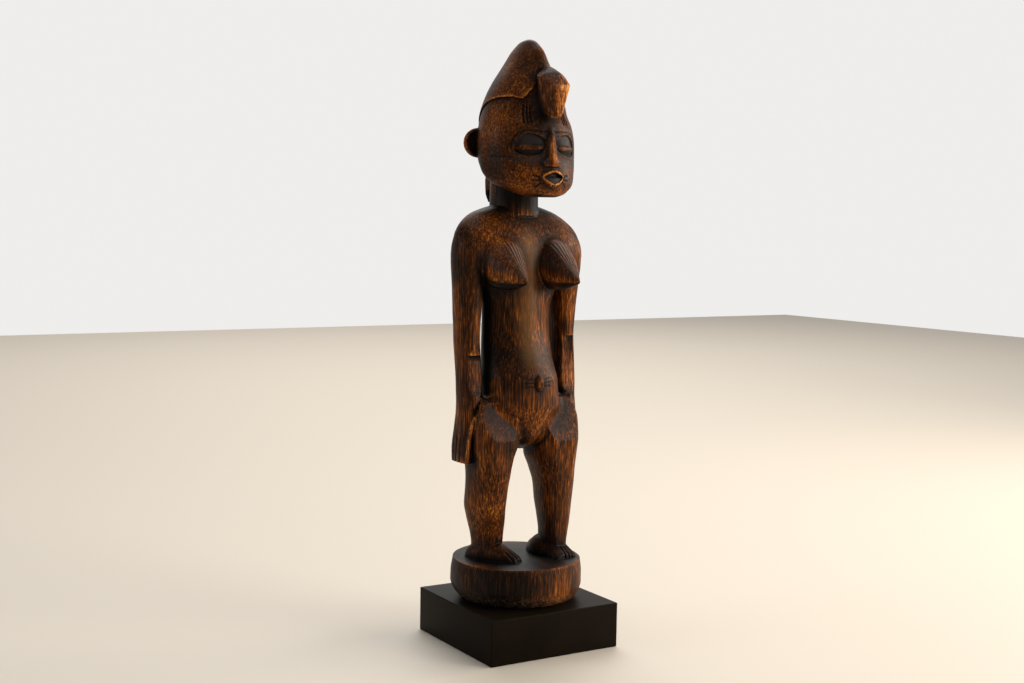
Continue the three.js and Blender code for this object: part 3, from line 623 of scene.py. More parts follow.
def foot(x, f, h, hand):
    """Along its middle line, a half oval whose width and height run through a few stops,
    with cuts between the toes. The left ankle also stands in a round ball of wood."""
    heel, toe, toe_width = FEET[hand]
    way = np.subtract(toe, heel)
    length = math.hypot(*way)
    way = way / length
    along = ((x - heel[0]) * way[0] + (f - heel[1]) * way[1]) / length
    aside = (heel[0] - x) * way[1] + (f - heel[1]) * way[0]
    stops = np.linspace(0, 1, 41)
    side = np.interp(along, stops, through(FOOT_ALONG, FOOT_SIDE, stops))
    up = np.interp(along, stops, through(FOOT_ALONG, FOOT_UP, stops))
    side = side * (1.0 + (toe_width - 1.0) * np.clip((along - 0.3) / 0.7, 0, 1))
    field = oval(np.abs(aside) / side, np.abs(h - BASE_TOP + 1.0) / up, side, up, FOOT_FULL)
    past = np.maximum(-along, along - 1.0) * length
    field = common(field, past, 2.4)
    field = np.maximum(field, BASE_TOP - 6.0 - h)
    for line in TOE_LINES[hand]:
        away = aside - line * (0.8 + 0.25 * (along - 0.75) / 0.25) * (0.6 + 0.4 * toe_width)
        field = knife(field, away, 1.9, 1.5, ease(along * length, length - 15, length - 12))
    if hand < 0:
        return field
    at = ANKLE_BALL
    ball = egg(x - at["out"], f - at["forward"], h - BASE_TOP, *at["radii"])
    return melt(field, ball, 1.6)


# %% Base: a slice of the log, its lower edge chopped round
def base(x, f, h):
    """A stack whose side wavers as three sines of the angle round it, with even bites
    taken from its lower edge."""
    turn = np.arctan2(f, x + 2)
    waver = 0.35 * np.sin(5 * turn + 0.4) + 0.22 * np.sin(11 * turn + h * 0.12)
    waver = waver + 0.12 * np.sin(23 * turn)
    chop = 0.9 * np.abs(np.sin(14 * turn + 0.9 * np.sin(3 * turn))) * ease(h, 14, 4)
    sides = BASE.distance(x, f, h) + waver * 0.5 + chop
    return common(sides, h - BASE_TOP, 0.5)


# %% The whole figure
def wood(x, f, h):
    """The field of the carving: every form above, joined softly at the shoulders and
    crisply where one form only lies against another."""
    soft = 1.4 + 5.0 * ease(h, 318, 362)
    field = near(trunk, (-90, -60, 150), (90, 60, 452), x, f, h)
    for hand in (-1, 1):
        limb = near(leg, (-10, -60, 30), (95, 60, 225), x * hand, f, h, hand)
        field = melt(field, limb, 1.6 + 6.0 * ease(h, 152, 172))
        cone = near(breast, (0, -10, 315), (70, 70, 385), x * hand, f, h)
        field = melt(field, cone, 2.2)
        lobe = near(foot, (0, -50, 30), (80, 60, 75), x * hand, f, h, hand)
        field = melt(field, lobe, 1.0)
    for hand in (-1, 1):
        limb = near(arm, (20, -60, 138), (95, 50, 395), x * hand, f, h, hand)
        field = melt(field, limb, soft)
    field = melt(field, near(base, (-90, -90, -20), (90, 90, 60), x, f, h), 0.9)
    top = near(head, (-75, -80, 400), (75, 85, 600), x, f, h)
    return melt(field, top, 1.2)


# %% [markdown]
# ## Drawing the skin
# The field is worked out on a coarse grid first, and then only near the surface on a
# fine one. Every grid edge whose ends differ in sign is crossed once. Each cell with
# crossings gets one corner at their mean, each crossing gets a face between the four
# cells round it, and every corner then slides down the field's slope to zero.

# %% Grid, cells and faces
FINE = 0.85
COARSE_STEPS = 4
GRID_LOW = np.array((-80.0, -76.0, -6.0))
GRID_HIGH = np.array((80.0, 76.0, 588.0))
CLOSE = 0.6


def fine_field():
    """The signs far from the surface come from the coarse grid."""
    coarse = FINE * COARSE_STEPS
    counts = np.ceil((GRID_HIGH - GRID_LOW) / coarse).astype(int) + 1
    axes = [GRID_LOW[i] + coarse * np.arange(counts[i]) for i in range(3)]
    x, f, h = (v.ravel() for v in np.meshgrid(*axes, indexing="ij"))
    rough = wood(x, f, h).reshape(counts)
    cells = tuple(counts - 1)
    least = np.full(cells, np.inf)
    most = np.full(cells, -np.inf)
    for dx, df, dh in itertools.product((0, 1), repeat=3):
        corner = rough[dx:dx + cells[0], df:df + cells[1], dh:dh + cells[2]]
        least = np.minimum(least, corner)
        most = np.maximum(most, corner)
    blocks = np.argwhere((least < CLOSE * coarse) & (most > -CLOSE * coarse))
    grid = rough[:-1, :-1, :-1]
    for axis in range(3):
        grid = np.repeat(grid, COARSE_STEPS, axis)
    steps = np.stack(np.meshgrid(*[np.arange(COARSE_STEPS)] * 3, indexing="ij"), -1).reshape(-1, 3)
    wanted = (blocks[:, None] * COARSE_STEPS + steps[None]).reshape(-1, 3)
    places = GRID_LOW + wanted * FINE
    grid[tuple(wanted.T)] = wood(*places.T)
    print("field worked out at", len(places), "points of", grid.size)
    return grid


def skin(grid):
    """Corners at the mean of each cell's crossings, and four-sided faces round them."""
    inside = grid < 0
    counts = np.array(grid.shape)
    stride = np.array((counts[1] * counts[2], counts[2], 1))
    flat = grid.ravel()
    cell_ids, crossings, loops = [], [], []
    for axis in range(3):
        first = [slice(1, -1)] * 3
        second = [slice(1, -1)] * 3
        first[axis] = slice(0, -1)
        second[axis] = slice(1, None)
        differ = np.argwhere(inside[tuple(first)] != inside[tuple(second)])
        offset = np.array([0 if i == axis else 1 for i in range(3)])
        start = differ + offset
        a = flat[start @ stride]
        b = flat[start @ stride + stride[axis]]
        place = start.astype(float)
        place[:, axis] += a / (a - b)
        u, v = (axis + 1) % 3, (axis + 2) % 3
        round_edge = np.array([0, -stride[u], -stride[u] - stride[v], -stride[v]])
        around = (start @ stride)[:, None] + round_edge
        cell_ids.append(around.ravel())
        crossings.append(np.repeat(place, 4, axis=0))
        loops.append(np.where((a > 0)[:, None], around, around[:, ::-1]))
    ids, index = np.unique(np.concatenate(cell_ids), return_inverse=True)
    crossings = np.concatenate(crossings)
    number = np.bincount(index)
    corners = np.column_stack([np.bincount(index, crossings[:, i]) / number for i in range(3)])
    faces = np.searchsorted(ids, np.concatenate(loops))
    return GRID_LOW + corners * FINE, faces


def slope_at(points, reach=0.05):
    """The field and its gradient, from three steps beside each point."""
    here = wood(*points.T)
    steps = [wood(*(points + reach * np.eye(3)[i]).T) - here for i in range(3)]
    return here, np.column_stack(steps) / reach


def settle(points, rounds):
    """Newton's step: the point less the field times its gradient over the gradient's
    square, never further than half a grid step."""
    for _ in range(rounds):
        value, slope = slope_at(points)
        step = -value[:, None] * slope / np.maximum((slope ** 2).sum(1), 0.05)[:, None]
        length = np.linalg.norm(step, axis=1, keepdims=True)
        points = points + step * np.minimum(1.0, 0.5 * FINE / np.maximum(length, 1e-9))
    return points


grid = fine_field()
corners, faces = skin(grid)
corners = settle(corners, 2)
print("skin of", len(corners), "corners and", len(faces), "faces")

# %% [markdown]
# ## From skin to mesh
# The even skin has far more corners than flat wood needs. Blender's Decimate gathers
# them where the surface bends, so the face keeps its small forms. Two values are then
# kept on every corner for the finish: how far it stands on an edge, where hands rub the
# dark surface back to brown wood, and how deep it lies in a hollow, where wax gathers
# and where painted shade darkens the wood.


# %% Mesh helpers
def new_mesh(name, corners, faces):
    """Corners in millimetres of the frame, to an object in metres."""
    mesh = bpy.data.meshes.new(name)
    corners = np.asarray(corners, float) * MM
    faces = np.asarray(faces)
    mesh.vertices.add(len(corners))
    mesh.vertices.foreach_set("co", corners.ravel())
    sides = faces.shape[1]
    mesh.loops.add(faces.size)
    mesh.loops.foreach_set("vertex_index", faces.ravel())
    mesh.polygons.add(len(faces))
    mesh.polygons.foreach_set("loop_start", np.arange(0, faces.size, sides))
    mesh.update(calc_edges=True)
    mesh.validate()
    mesh.polygons.foreach_set("use_smooth", np.ones(len(mesh.polygons), bool))
    piece = bpy.data.objects.new(name, mesh)
    bpy.context.scene.collection.objects.link(piece)
    return piece


def to_frame(points):
    """x left, f forward, h up from the underside, to the frame's X, Y and Z."""
    return np.column_stack([points[:, 0], -points[:, 1], points[:, 2] + UNDERSIDE])


def triangles(corners, faces):
    """Each four-sided face in two, across its shorter diagonal."""
    a, b, c, d = (corners[faces[:, i]] for i in range(4))
    short = (((a - c) ** 2).sum(1) <= ((b - d) ** 2).sum(1))[:, None]
    one = np.where(short, faces[:, [0, 1, 2]], faces[:, [0, 1, 3]])
    two = np.where(short, faces[:, [0, 2, 3]], faces[:, [1, 2, 3]])
    return np.concatenate([one, two])


# %% The figure's mesh
MOST_TRIANGLES = 192000

carving = new_mesh("carving", to_frame(corners), triangles(corners, faces))
if len(carving.data.polygons) > MOST_TRIANGLES:
    thin = carving.modifiers.new("thin", "DECIMATE")
    thin.ratio = MOST_TRIANGLES / len(carving.data.polygons)
    seen = carving.evaluated_get(bpy.context.evaluated_depsgraph_get())
    thinned = bpy.data.meshes.new_from_object(seen)
    carving.modifiers.clear()
    carving.data = thinned
    thinned.name = "carving"
print("carving of", len(carving.data.polygons), "triangles")


# %% Worn edges, and hollows darkened by wax and painted shade
def read_corners(mesh):
    place = np.empty(len(mesh.vertices) * 3)
    mesh.vertices.foreach_get("co", place)
    place = place.reshape(-1, 3) / MM
    return np.column_stack([place[:, 0], -place[:, 1], place[:, 2] - UNDERSIDE])


def keep(mesh, name, values):
    layer = mesh.attributes.new(name, "FLOAT", "POINT")
    layer.data.foreach_set("value", np.asarray(values, np.float32))


points = read_corners(carving.data)
_, gradient = slope_at(points)
steep = np.maximum(np.linalg.norm(gradient, axis=1), 0.3)
outward = gradient / steep[:, None]


def stand_out(reach):
    """On a straight wall the field one reach inside is minus the reach. On an edge less
    of the wood is behind the corner, and the field comes out nearer to zero."""
    inside = wood(*(points - outward * reach).T) / steep
    return np.clip(1.0 + inside / reach, 0.0, 1.0)


def lie_deep(reach):
    """The same outside: in a hollow, the field one reach out is less than the reach."""
    outside = wood(*(points + outward * reach).T) / steep
    return np.clip(1.0 - outside / reach, 0.0, 1.0)


# Edges that stand out, worn lighter by handling.
rubbed = np.clip(1.5 * stand_out(1.2) + 0.5 * stand_out(4.0) * (points[:, 2] > 50), 0, 1)
# Hollows darker, partly with wax gathered there and partly with painted shade.
WAX_AND_SHADE_BY = {0.8: 0.8, 2.0: 0.5, 5.0: 0.45, 12.0: 0.5}
waxed = np.clip(sum(share * lie_deep(reach) for reach, share in WAX_AND_SHADE_BY.items()), 0, 1)
print("rubbed", rubbed.mean().round(3), "waxed", waxed.mean().round(3))

# %% [markdown]
# ## Where the wood shows which colour
# Smoke and oil have blackened the block, and handling has brought back brown and orange
# on what stands forward. Limbs and base show it in upright streaks, the head in small
# spots, and the planed bevels stay dark and even. Light and shade are painted in too:
# shade on the sides turned from the lamps and under the chin, lids and breasts,
# highlights on ridges and down the trunk's keel, and a grey reflection on smooth faces
# that look up and forward. More values on the corners say where, each one between 0
# and 1 and faded at its edges.


# %% Fades
def band(value, low, rise, fall, high):
    """0 at low, 1 from rise to fall, and 0 again at high."""
    return ease(value, low, rise) * ease(value, high, fall)


x, f, h = points.T
nx, nf, nh = outward.T
out = np.abs(x)
in_front = ease(f, 8, 14)
on_face = ease(f, 20, 26)

# %% Limbs, trunk and base
bevel = ease(nf * math.sin(BEVEL_SLOPE) + nh * math.cos(BEVEL_SLOPE), 0.985, 0.998)
bevel = bevel * band(h, 162, 168, 204, 212)
bevel = bevel * ease(GAP_ACROSS * x + GAP_ALONG * f - 33 - 0.42 * (209 - h), 1.5, -0.5)
forearm = (h > 213) * (h < np.where(x < 0, 256, 273.5)) * (out > 44) * (f > -6)
forearm = forearm * ease(nf, 0.975, 0.99)
# The inner side of the left arm: its painted shade is lifted and a painted fill light added there.
inner_arm_fill = band(x, 36, 42, 60, 66) * band(h, 212, 222, 330, 345)
feet_dark = (0.35 + 0.65 * ease(h, 45, 43)) * band(h, BASE_TOP - 0.6, BASE_TOP + 0.3, 62, 70)
feet_dark = feet_dark * ease(np.hypot(x + 2, f), 66.5, 64)
# Painted shade on the side of the base on the figure's right, turned from the lamps.
base_shaded_side = ease(x, -14, -44) * ease(h, BASE_TOP + 1, BASE_TOP - 1)
# Painted shadow of the chin and jaw on the neck.
neck_chin_shadow = band(h, 398, 406, 420, 428) * ease(f, 22, 16)
# Painted shade on the trunk's right side, turned from the lamps.
trunk_shaded_side = band(x, -46, -42, -24, -4) * band(h, 214, 226, 330, 338)
# A painted highlight, a sheen, down the keel of the trunk.
keel_light = 0.85 * np.exp(-((x + 1.0 + 4.0 * ease(h, 345, 290)) / 8.5) ** 2)
keel_light = keel_light * band(h, 232, 262, 372, 396) * ease(f, 2, 10)

# %% Head
along_eye = along_face(out, f)
lock_light = ease(f, 46, 50) * ease(h, 496, 499) * (out < 16)
# Painted shade on the lock's facets that face the figure's right.
lock_shaded_side = lock_light * ease(nx, -0.35, -0.6)
lid = ease(h, 470.5, 472.5) * ease(through(*UPPER_RIM.T, along_eye) - h, -0.3, 1.2)
lid = lid * ease(np.abs(along_eye), 16, 13) * on_face
# A painted highlight along the ridge of each lid.
lid_light = np.exp(-((h - 468.6) / 2.0) ** 4) * on_face * band(along_eye, -11.5, -8.5, 6.5, 9.5)
# Painted shade under the ridge of each lid.
under_lid_shade = band(h, 459.5, 461.5, 464.6, 466.4) * ease(np.abs(along_eye), 15.5, 12) * on_face
brow = band(h, 484, 488, 528, 536) * ease(f, 18, 26)
cheek = np.exp(-((h - 454.5 - 0.05 * out) / 4.2) ** 2) * band(out, 4, 9, 30, 43) * ease(f, 15, 30)
temple = np.exp(-(((out - 12) / 7) ** 2 + ((h - 512) / 12) ** 2)) * ease(f, 20, 30)
temple = temple * (1 - lock_light)
forehead = np.exp(-(((f - 22) / 16) ** 2 + ((h - 494) / 16) ** 2)) * ease(out, 18, 26)
on_nose = ease(out, 11, 9) * ease(f, 49, 51) * band(h, 447, 449, 486, 492)
# A painted highlight down the ridge of the nose.
nose_light = ease(out, 4.5, 2.5) * ease(f, 52, 54) * band(h, 449, 451, 478, 486)
opening = almond(x, h, **OPENING)
under_lip = (opening < 0.2) * ease(h, 438.8, 437.8) * ease(f, 50, 54)
# A painted highlight on the rim of the lips.
lip_light = (almond(x, h, **LIPS) < 0.6) * (opening > 0.4) * ease(f, 52, 54)

# %% Breasts, each with lines that run together at its tip
t, across, high, _ = along_breast(out, f, h)
from_axis = np.hypot(across, high)
on_breast = ease(t, -0.1, 0.1) * (t < 1.1) * ease(from_axis, 29, 26) * (h > 315)
# The upper side of each breast, which gets a painted grey reflection.
breast_top = on_breast * ease(high, -2, 5)
# A painted lit band on the lower side of each breast.
breast_lit_band = on_breast * ease(high, 4, -1) * ease(nh, -0.62, -0.45)
# Painted shade on the underside of each breast.
breast_underside_shade = on_breast * ease(nh, -0.45, -0.62)
line = across / (1.06 - np.clip(t, -0.2, 0.96)) - np.where(x < 0, FIRST_LINE[-1], FIRST_LINE[1])
line = line / np.where(x < 0, LINE_STEP[-1], LINE_STEP[1])
scored = ease(high, 0.5, 2.0) * ease(t, 0.94, 0.88) * ease(t, -0.02, 0.08) * (from_axis < 27)
scored = scored * (h > 315) * band(line, -0.6, -0.4, LINE_COUNT - 0.6, LINE_COUNT - 0.4)

# %% Wear and painted highlights, wax and painted shade, painted reflection, even faces
# Painted highlights on the nose ridge, the lid ridges, the lip rims, a lit band on each breast, the
# inner left arm and the edges of the lock join the worn edges; the planed forearms, the foot of the
# thigh bevels and the forehead are made lighter too.
rubbed = rubbed + 0.4 * nose_light + 0.35 * lid_light + 0.3 * lip_light + 0.35 * forehead
rubbed = rubbed + 0.3 * forearm + 0.3 * breast_lit_band + 0.4 * bevel * ease(h, 184, 168)
rubbed = rubbed + 0.45 * inner_arm_fill * (x > 0) + 2.0 * stand_out(1.0) * lock_light
# A painted highlight along the thumb of the right hand, on its faces turned forward.
for start, end in zip(THUMB[-1][:-1], THUMB[-1][1:]):
    thumb = rod(-x, f, h, start, end, 3.4)
    rubbed = rubbed + 0.7 * ease(thumb, 1.0, 0.0) * ease(nf - 0.6 * nx, 0.2, 0.7)
# Painted shade on the trunk's right side, under the lids, on the base's right side, on the neck
# under the chin and under each breast; the shade is lifted on the inner left arm and partly on the
# brow, and the cuts are darkened.
waxed = waxed * (1 - 0.85 * inner_arm_fill) * (1 - 0.55 * brow) + 0.28 * trunk_shaded_side
waxed_cuts = ((TEMPLE_CUTS + MOUTH_CUTS, 0.9, 1.2, 0.4), (NAVEL_CUTS, 0.5, 0.9, 0.3))
for cuts, push, wide, narrow in waxed_cuts:
    for a, b in cuts:
        waxed = waxed + push * ease(from_line(out, h, a, b), wide, narrow) * in_front
waxed = waxed + 0.5 * under_lid_shade + 0.5 * base_shaded_side + 0.35 * neck_chin_shadow + 0.5 * breast_underside_shade
# A painted grey reflection on smooth faces that look up and forward: the upper lids, the cheeks,
# under the lips, the temples, the thigh bevels, the planed forearms and the tops of the breasts.
cool = np.clip(0.75 * lid + 0.7 * cheek + 0.9 * under_lip + 0.5 * temple, 0, 1)
cool = cool + bevel * (0.38 + 0.25 * ease(h, 180, 200)) + 0.1 * forearm + 0.35 * breast_top
even = 0.25 * bevel + 0.9 * feet_dark + 0.4 * (lid + under_lip) + 0.5 * lid_light + 0.3 * forehead
kept = {
    "line": np.clip(line, -1, LINE_COUNT),
    "scored": scored,
    "rubbed": np.clip(rubbed, 0, 1),
    "sheen": keel_light,
    "crust": ease(h, 16, 5),
    "waxed": np.clip(waxed, 0, 1.2),
    "streaky": np.clip(ease(h, 425, 405) + lock_light + 0.7 * on_nose, 0, 1),
    "even": np.clip(even, 0, 1),
    "cool": np.clip(cool, 0, 1),
    # The lock made lighter, except on its top, with painted shade on its facet that faces the
    # figure's right.
    "lock": (lock_light - 0.5 * lock_shaded_side) * (1 - ease(nh, 0.55, 0.75)),
}
for name, values in kept.items():
    keep(carving.data, name, values)
    print(name, "from", round(float(values.min()), 2), "to", round(float(values.max()), 2))

# %% [markdown]
# ## Materials
# Shader maths reads best as sums. A Wire holds one socket, and adding or multiplying
# two wires adds the Math node that does it. Every other node comes from `Finish.node`.


# %% Wire and Finish
class Wire:
    """One number on its way through a material."""

    def __init__(self, finish, socket):
        self.finish, self.socket = finish, socket

    def maths(self, operation, *values, clamp=False):
        settings = {"operation": operation, "use_clamp": clamp}
        return self.finish.node("ShaderNodeMath", settings, *values)["Value"]

    def __add__(self, other):
        return self.maths("ADD", self, other)

    def __sub__(self, other):
        return self.maths("SUBTRACT", self, other)

    def __rsub__(self, other):
        return self.maths("SUBTRACT", other, self)

    def __mul__(self, other):
        return self.maths("MULTIPLY", self, other)

    __radd__ = __add__
    __rmul__ = __mul__

    def clamped(self):
        return self.maths("ADD", self, 0.0, clamp=True)

    def spread(self, low, high):
        """0 at low, 1 at high, straight between them and level beyond."""
        ends = {"From Min": low, "From Max": high}
        return self.finish.node("ShaderNodeMapRange", {"clamp": True}, Value=self, **ends)["Result"]


class Finish:
    """A material, its surface shader, and a way to add nodes."""

    def __init__(self, name, **fixed):
        self.material = bpy.data.materials.new(name)
        self.material.use_nodes = True
        self.tree = self.material.node_tree
        self.shader = self.tree.nodes["Principled BSDF"]
        for socket, value in fixed.items():
            self.shader.inputs[socket.replace("_", " ")].default_value = value

    def node(self, kind, settings=None, *values, **named):
        """Makes a node, applies its settings, then fills its sockets in order or by name
        with numbers, colours or wires. Returns its outputs by name."""
        node = self.tree.nodes.new(kind)
        for key, value in (settings or {}).items():
            if key == "stops":
                self.ramp(node, value)
            else:
                setattr(node, key, value)
        filled = list(enumerate(values)) + list(named.items())
        for key, value in filled:
            self.join(value, node.inputs[key])
        return {output.name: Wire(self, output) for output in node.outputs}

    def ramp(self, node, stops):
        while len(node.color_ramp.elements) < len(stops):
            node.color_ramp.elements.new(1.0)
        for element, (place, colour) in zip(node.color_ramp.elements, stops):
            element.position = place
            element.color = (*colour, 1.0)

    def join(self, value, socket):
        if isinstance(value, Wire):
            self.tree.links.new(value.socket, socket)
        else:
            socket.default_value = value

    def end(self, **sockets):
        for name, value in sockets.items():
            self.join(value, self.shader.inputs[name.replace("_", " ")])
        return self.material

    def kept(self, name):
        return self.node("ShaderNodeAttribute", {"attribute_name": name})["Fac"]

    def noise(self, place, scale, detail, rough):
        sockets = {"Vector": place, "Scale": scale, "Detail": detail, "Roughness": rough}
        return self.node("ShaderNodeTexNoise", None, **sockets)["Fac"]

    def stretched(self, scale):
        """Object coordinates, scaled along each axis."""
        place = self.node("ShaderNodeTexCoord")["Object"]
        return self.node("ShaderNodeMapping", None, Vector=place, Scale=scale)["Vector"]

    def bumped(self, height, strength, distance):
        sockets = {"Height": height, "Strength": strength, "Distance": distance}
        return self.node("ShaderNodeBump", None, **sockets)["Normal"]

    def mixed(self, share, a, b):
        """Colour a turned into b by a share. Only the sockets for colours are used."""
        node = self.node("ShaderNodeMix", {"data_type": "RGBA"})
        mix = node["Result"].socket.node
        sockets = [s for s in mix.inputs if s.enabled]
        for socket, value in zip(sockets, (share, a, b)):
            self.join(value, socket)
        return [Wire(self, s) for s in mix.outputs if s.enabled][0]


# %% [markdown]
# ## Dark waxed wood
# One brown runs from soot black to orange, and one number says where on it a spot of the
# surface lies. Grain streaks, spots, worn edges, wax in hollows, painted highlights and
# painted shade push that number up and down. A painted grey reflection, a painted sheen
# on the keel and painted highlights between the lines on the breasts are mixed into the
# colour. A thin coat of wax gives the clear, soft highlights.

# %% The wood
BROWNS = [
    (0.0, (0.004, 0.003, 0.0026)), (0.25, (0.013, 0.0060, 0.0034)),
    (0.5, (0.056, 0.0170, 0.0038)), (0.72, (0.185, 0.050, 0.0066)),
    (0.88, (0.38, 0.115, 0.016)), (1.0, (0.60, 0.25, 0.055)),
]
# Colours of a painted grey reflection, of dust, of a painted sheen and of a painted highlight on
# ridges.
REFLECTION_GREY = (0.036, 0.030, 0.032, 1)
DUST = (0.15, 0.115, 0.08, 1)
PAINTED_SHEEN = (0.17, 0.092, 0.038, 1)
RIDGE_HIGHLIGHT = (0.16, 0.11, 0.085, 1)
MIDDLE_TONE = 0.475
# Pushes on the tone: wear and painted highlights, wax and painted shade, even faces, the lock lit
# and shaded, a painted reflection, and the ridges between the breast lines lighter as a painted
# highlight.
TONE_BY = dict(rubbed=0.36, waxed=-0.62, even=-0.22, lock=0.24, cool=-0.18, scored=0.25)
GROOVE_TONE = -0.85


def dark_wood():
    """A tone between 0 and 1 is the middle tone, plus broad clouds, patches and a pattern
    of streaks or spots, each less its mean, plus every kept value times its push."""
    finish = Finish(
        "dark_waxed_wood", IOR=1.5, Coat_Roughness=0.25, Coat_IOR=1.5, Specular_IOR_Level=0.07,
    )
    even_place = finish.stretched((1, 1, 1))
    upright = finish.stretched((1, 1, 0.055))
    broad = finish.noise(even_place, 14.0, 3.0, 0.55)
    patches = finish.noise(finish.stretched((1, 1, 0.4)), 38.0, 4.0, 0.6)
    streak = finish.noise(upright, 620.0, 3.0, 0.6)
    hair = finish.noise(upright, 1500.0, 2.0, 0.6)
    spots = finish.noise(finish.stretched((1, 1, 0.7)), 560.0, 3.0, 0.6)
    fine = finish.noise(even_place, 1400.0, 2.0, 0.5)
    streaky, even = finish.kept("streaky"), finish.kept("even")
    cool, crust, scored = finish.kept("cool"), finish.kept("crust"), finish.kept("scored")
    wave = finish.kept("line") * (2 * math.pi)
    lines = wave.maths("COSINE", wave).spread(-0.3, 0.5) * scored
    grain = streak * 0.62 + hair * 0.38
    speck = spots * 0.72 + fine * 0.28
    pattern = (grain - 0.5) * streaky * 2.3 + (speck - 0.5) * (1 - streaky) * 1.9
    tone = MIDDLE_TONE + (broad - 0.5) + (patches - 0.5) * 0.6 + pattern * (1 - even * 0.75)
    for name, push in TONE_BY.items():
        tone = tone + finish.kept(name) * push
    tone = (tone + lines * GROOVE_TONE).clamped()
    colour = finish.node("ShaderNodeValToRGB", {"stops": BROWNS}, tone)["Color"]
    # The painted sheen down the keel, broken by the grain.
    sheen = finish.kept("sheen") * (0.62 - (grain - 0.5) * 1.2).clamped()
    dusty = spots.spread(0.47, 0.62) * crust * 0.6
    # A painted highlight on the ridges between the lines on the breasts.
    ridge_highlight = (scored - lines).clamped() * 0.6
    for share, other in ((cool * 0.65, REFLECTION_GREY), (sheen, PAINTED_SHEEN), (ridge_highlight, RIDGE_HIGHLIGHT), (dusty, DUST)):
        colour = finish.mixed(share, colour, other)
    rough = 0.46 - tone * 0.05 + (grain - 0.5) * 0.2 + cool * 0.04 + crust * 0.25
    height = grain * streaky + speck * (1 - streaky) * 0.6 + crust * spots * 4.0 - lines * 2.0
    bump = finish.bumped(height, 0.35, 0.00035)
    return finish.end(Base_Color=colour, Roughness=rough, Coat_Weight=0.025, Normal=bump)


wood_finish = dark_wood()
carving.data.materials.clear()
carving.data.materials.append(wood_finish)
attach(carving, "root")
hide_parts("carved_figure")
print("wood of", len(wood_finish.node_tree.nodes), "nodes")

# %% [markdown]
# ## The plinth
# A square of wood under satin dark paint, its edges just eased. A ball's grid of two
# angles, pulled apart at its middle to the corners of a box, gives the block with its
# rounded edges in one surface.


# %% Rounded block
def rounded_block(low, high, radius, steps):
    """Place = the box corner that a direction points to, less radius, plus radius times
    the direction. Directions run round in u and from straight down to straight up in v."""
    low, high = low + radius, high - radius
    quarter = np.linspace(0, math.pi / 2, steps)
    around = np.concatenate([quarter + k * math.pi / 2 for k in range(4)])
    corner_x = np.repeat([1, -1, -1, 1], steps)
    corner_y = np.repeat([1, 1, -1, -1], steps)
    rise = np.concatenate([quarter - math.pi / 2, quarter])
    top = np.repeat([0, 1], steps)
    u, v = np.meshgrid(around, rise, indexing="ij")
    middle, half = (low + high) / 2, (high - low) / 2
    place = np.stack([
        middle[0] + corner_x[:, None] * half[0] + radius * np.cos(v) * np.cos(u),
        middle[1] + corner_y[:, None] * half[1] + radius * np.cos(v) * np.sin(u),
        np.where(top, high[2], low[2])[None] + radius * np.sin(v),
    ], -1)
    rows, rings = u.shape
    index = np.arange(rows * rings).reshape(rows, rings)
    here, beside = index[:, :-1], np.roll(index, -1, 0)[:, :-1]
    above, across = index[:, 1:], np.roll(index, -1, 0)[:, 1:]
    walls = np.stack([here, beside, across, above], -1).reshape(-1, 4)
    ends = [index[::steps, -1], index[::steps, 0][::-1]]
    return place.reshape(-1, 3), np.vstack([walls, ends])


EDGE_RADIUS, EDGE_STEPS = 1.1, 5
ends = (np.array(end) / MM for end in (plinth_low, plinth_high))
block_corners, block_faces = rounded_block(*ends, EDGE_RADIUS, EDGE_STEPS)
plinth = new_mesh("plinth", block_corners, block_faces)
print("plinth", (np.array(plinth_high) - np.array(plinth_low)).round(4), "m")

# %% [markdown]
# ## Satin paint
# Brushed paint is never quite even: it has clouds a little paler than the rest, faint
# long strokes, and a finer orange peel.

# %% The paint
PAINT_DEEP = (0.0062, 0.0038, 0.0020, 1)
PAINT_WORN = (0.0105, 0.0066, 0.0036, 1)


def satin_paint():
    finish = Finish("satin_dark_paint", IOR=1.5, Specular_IOR_Level=0.035)
    place = finish.stretched((1, 1, 1))
    cloud = finish.noise(place, 22.0, 3.0, 0.55)
    stroke = finish.noise(finish.stretched((0.06, 1, 1)), 900.0, 2.0, 0.5)
    peel = finish.noise(place, 1300.0, 2.0, 0.5)
    share = (cloud * 0.7 + stroke * 0.3).spread(0.3, 0.7)
    colour = finish.mixed(share, PAINT_DEEP, PAINT_WORN)
    bump = finish.bumped(peel * 0.6 + stroke * 0.4, 0.25, 0.0001)
    return finish.end(Base_Color=colour, Roughness=0.40 + (cloud - 0.5) * 0.12, Normal=bump)


plinth.data.materials.append(satin_paint())
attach(plinth, "root")
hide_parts("square_plinth")

# %% [markdown]
# ## Floor, light and camera
# A pale floor and soft light, warm from the front right and cooler from the left and
# behind, so that the wax shows grey rims. The camera stands where the photographer
# stood.

# %% Floor
FLOOR_HALF = 4.0
floor_corners = np.array([(-1, -1, 0), (1, -1, 0), (1, 1, 0), (-1, 1, 0)]) * FLOOR_HALF / MM
floor = new_mesh("floor", floor_corners, [[0, 1, 2, 3]])
pale = Finish("pale_floor", Roughness=0.6)
floor.data.materials.append(pale.end(Base_Color=(0.62, 0.55, 0.46, 1)))


# %% Light
def lamp(name, place, aim, size, power, colour):
    """A square of light of the given size that faces its aim."""
    light = bpy.data.lights.new(name, "AREA")
    light.shape, light.size, light.energy, light.color = "SQUARE", size, power, colour
    holder = bpy.data.objects.new(name, light)
    bpy.context.scene.collection.objects.link(holder)
    way = np.subtract(aim, place)
    pitch = math.atan2(way[2], math.hypot(way[0], way[1])) + math.pi / 2
    holder.location = place
    holder.rotation_euler = (pitch, 0, math.atan2(way[1], way[0]) - math.pi / 2)


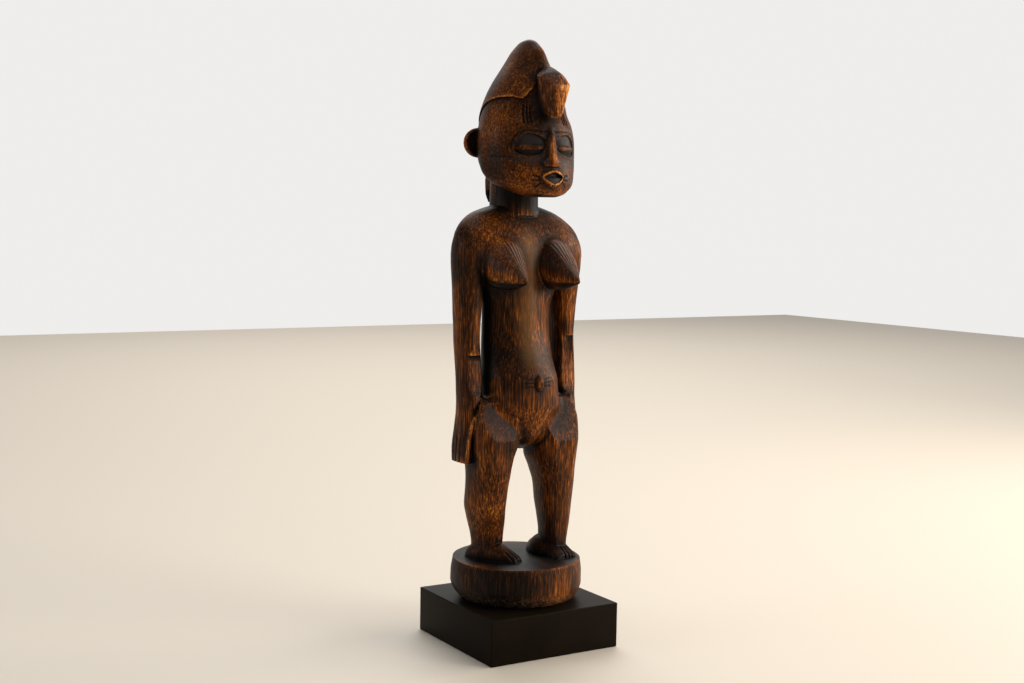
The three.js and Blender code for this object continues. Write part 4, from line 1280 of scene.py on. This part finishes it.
AIM = (0, 0, 0.34)
lamp("window", (1.25, -1.45, 0.85), AIM, 1.1, 30, (1.0, 0.95, 0.87))
lamp("side", (1.9, -0.35, 0.9), AIM, 0.9, 24, (1.0, 0.91, 0.78))
lamp("left", (-1.7, 0.5, 0.9), AIM, 1.0, 7, (0.86, 0.93, 1.0))
lamp("overhead", (0.1, 0.0, 2.1), AIM, 1.2, 12, (0.95, 0.97, 1.0))
lamp("far", (1.4, 2.4, 2.6), (1.4, 2.4, 0), 3.0, 90, (1.0, 0.98, 0.95))

# %% Pale wall behind, dim room in front
world = bpy.data.worlds.new("studio")
bpy.context.scene.world = world
world.use_nodes = True
sky = world.node_tree
look = sky.nodes.new("ShaderNodeTexCoord")
toward = sky.nodes.new("ShaderNodeVectorMath")
toward.operation = "DOT_PRODUCT"
toward.inputs[1].default_value = (0.52, 0.854, 0.0)
share = sky.nodes.new("ShaderNodeMapRange")
share.inputs["From Min"].default_value, share.inputs["From Max"].default_value = 0.35, 0.85
share.inputs["To Min"].default_value, share.inputs["To Max"].default_value = 0.16, 0.86
sky.links.new(look.outputs["Generated"], toward.inputs[0])
sky.links.new(toward.outputs["Value"], share.inputs["Value"])
sky.links.new(share.outputs["Result"], sky.nodes["Background"].inputs["Strength"])
sky.nodes["Background"].inputs["Color"].default_value = (1.0, 0.99, 0.97, 1)
bpy.context.scene.view_settings.view_transform = "Standard"

# %% Camera
AZIMUTH, ELEVATION, ROLL = math.radians(-31.382), math.radians(4.900), math.radians(0.971)
DISTANCE, TARGET = 1.47912, np.array((-0.011812, 0.0, 0.316474))
PIXELS_ACROSS, FOCAL_PIXELS, SENSOR = 1024, 1422.0, 36.0

level = math.cos(ELEVATION)
ahead = np.array((-math.sin(AZIMUTH) * level, math.cos(AZIMUTH) * level, -math.sin(ELEVATION)))
right = np.array((math.cos(AZIMUTH), math.sin(AZIMUTH), 0.0))
up = np.cross(right, ahead)
tilted_right = math.cos(ROLL) * right + math.sin(ROLL) * up
tilted_up = math.cos(ROLL) * up - math.sin(ROLL) * right
stand = TARGET - ahead * DISTANCE
lens = bpy.data.cameras.new("camera")
lens.sensor_width = SENSOR
lens.lens = FOCAL_PIXELS * SENSOR / PIXELS_ACROSS
camera = bpy.data.objects.new("camera", lens)
bpy.context.scene.collection.objects.link(camera)
matrix = np.eye(4)
matrix[:3] = np.column_stack([tilted_right, tilted_up, -ahead, stand])
camera.matrix_world = Matrix(matrix.tolist())
bpy.context.scene.camera = camera
print("lens", round(lens.lens, 2), "mm")
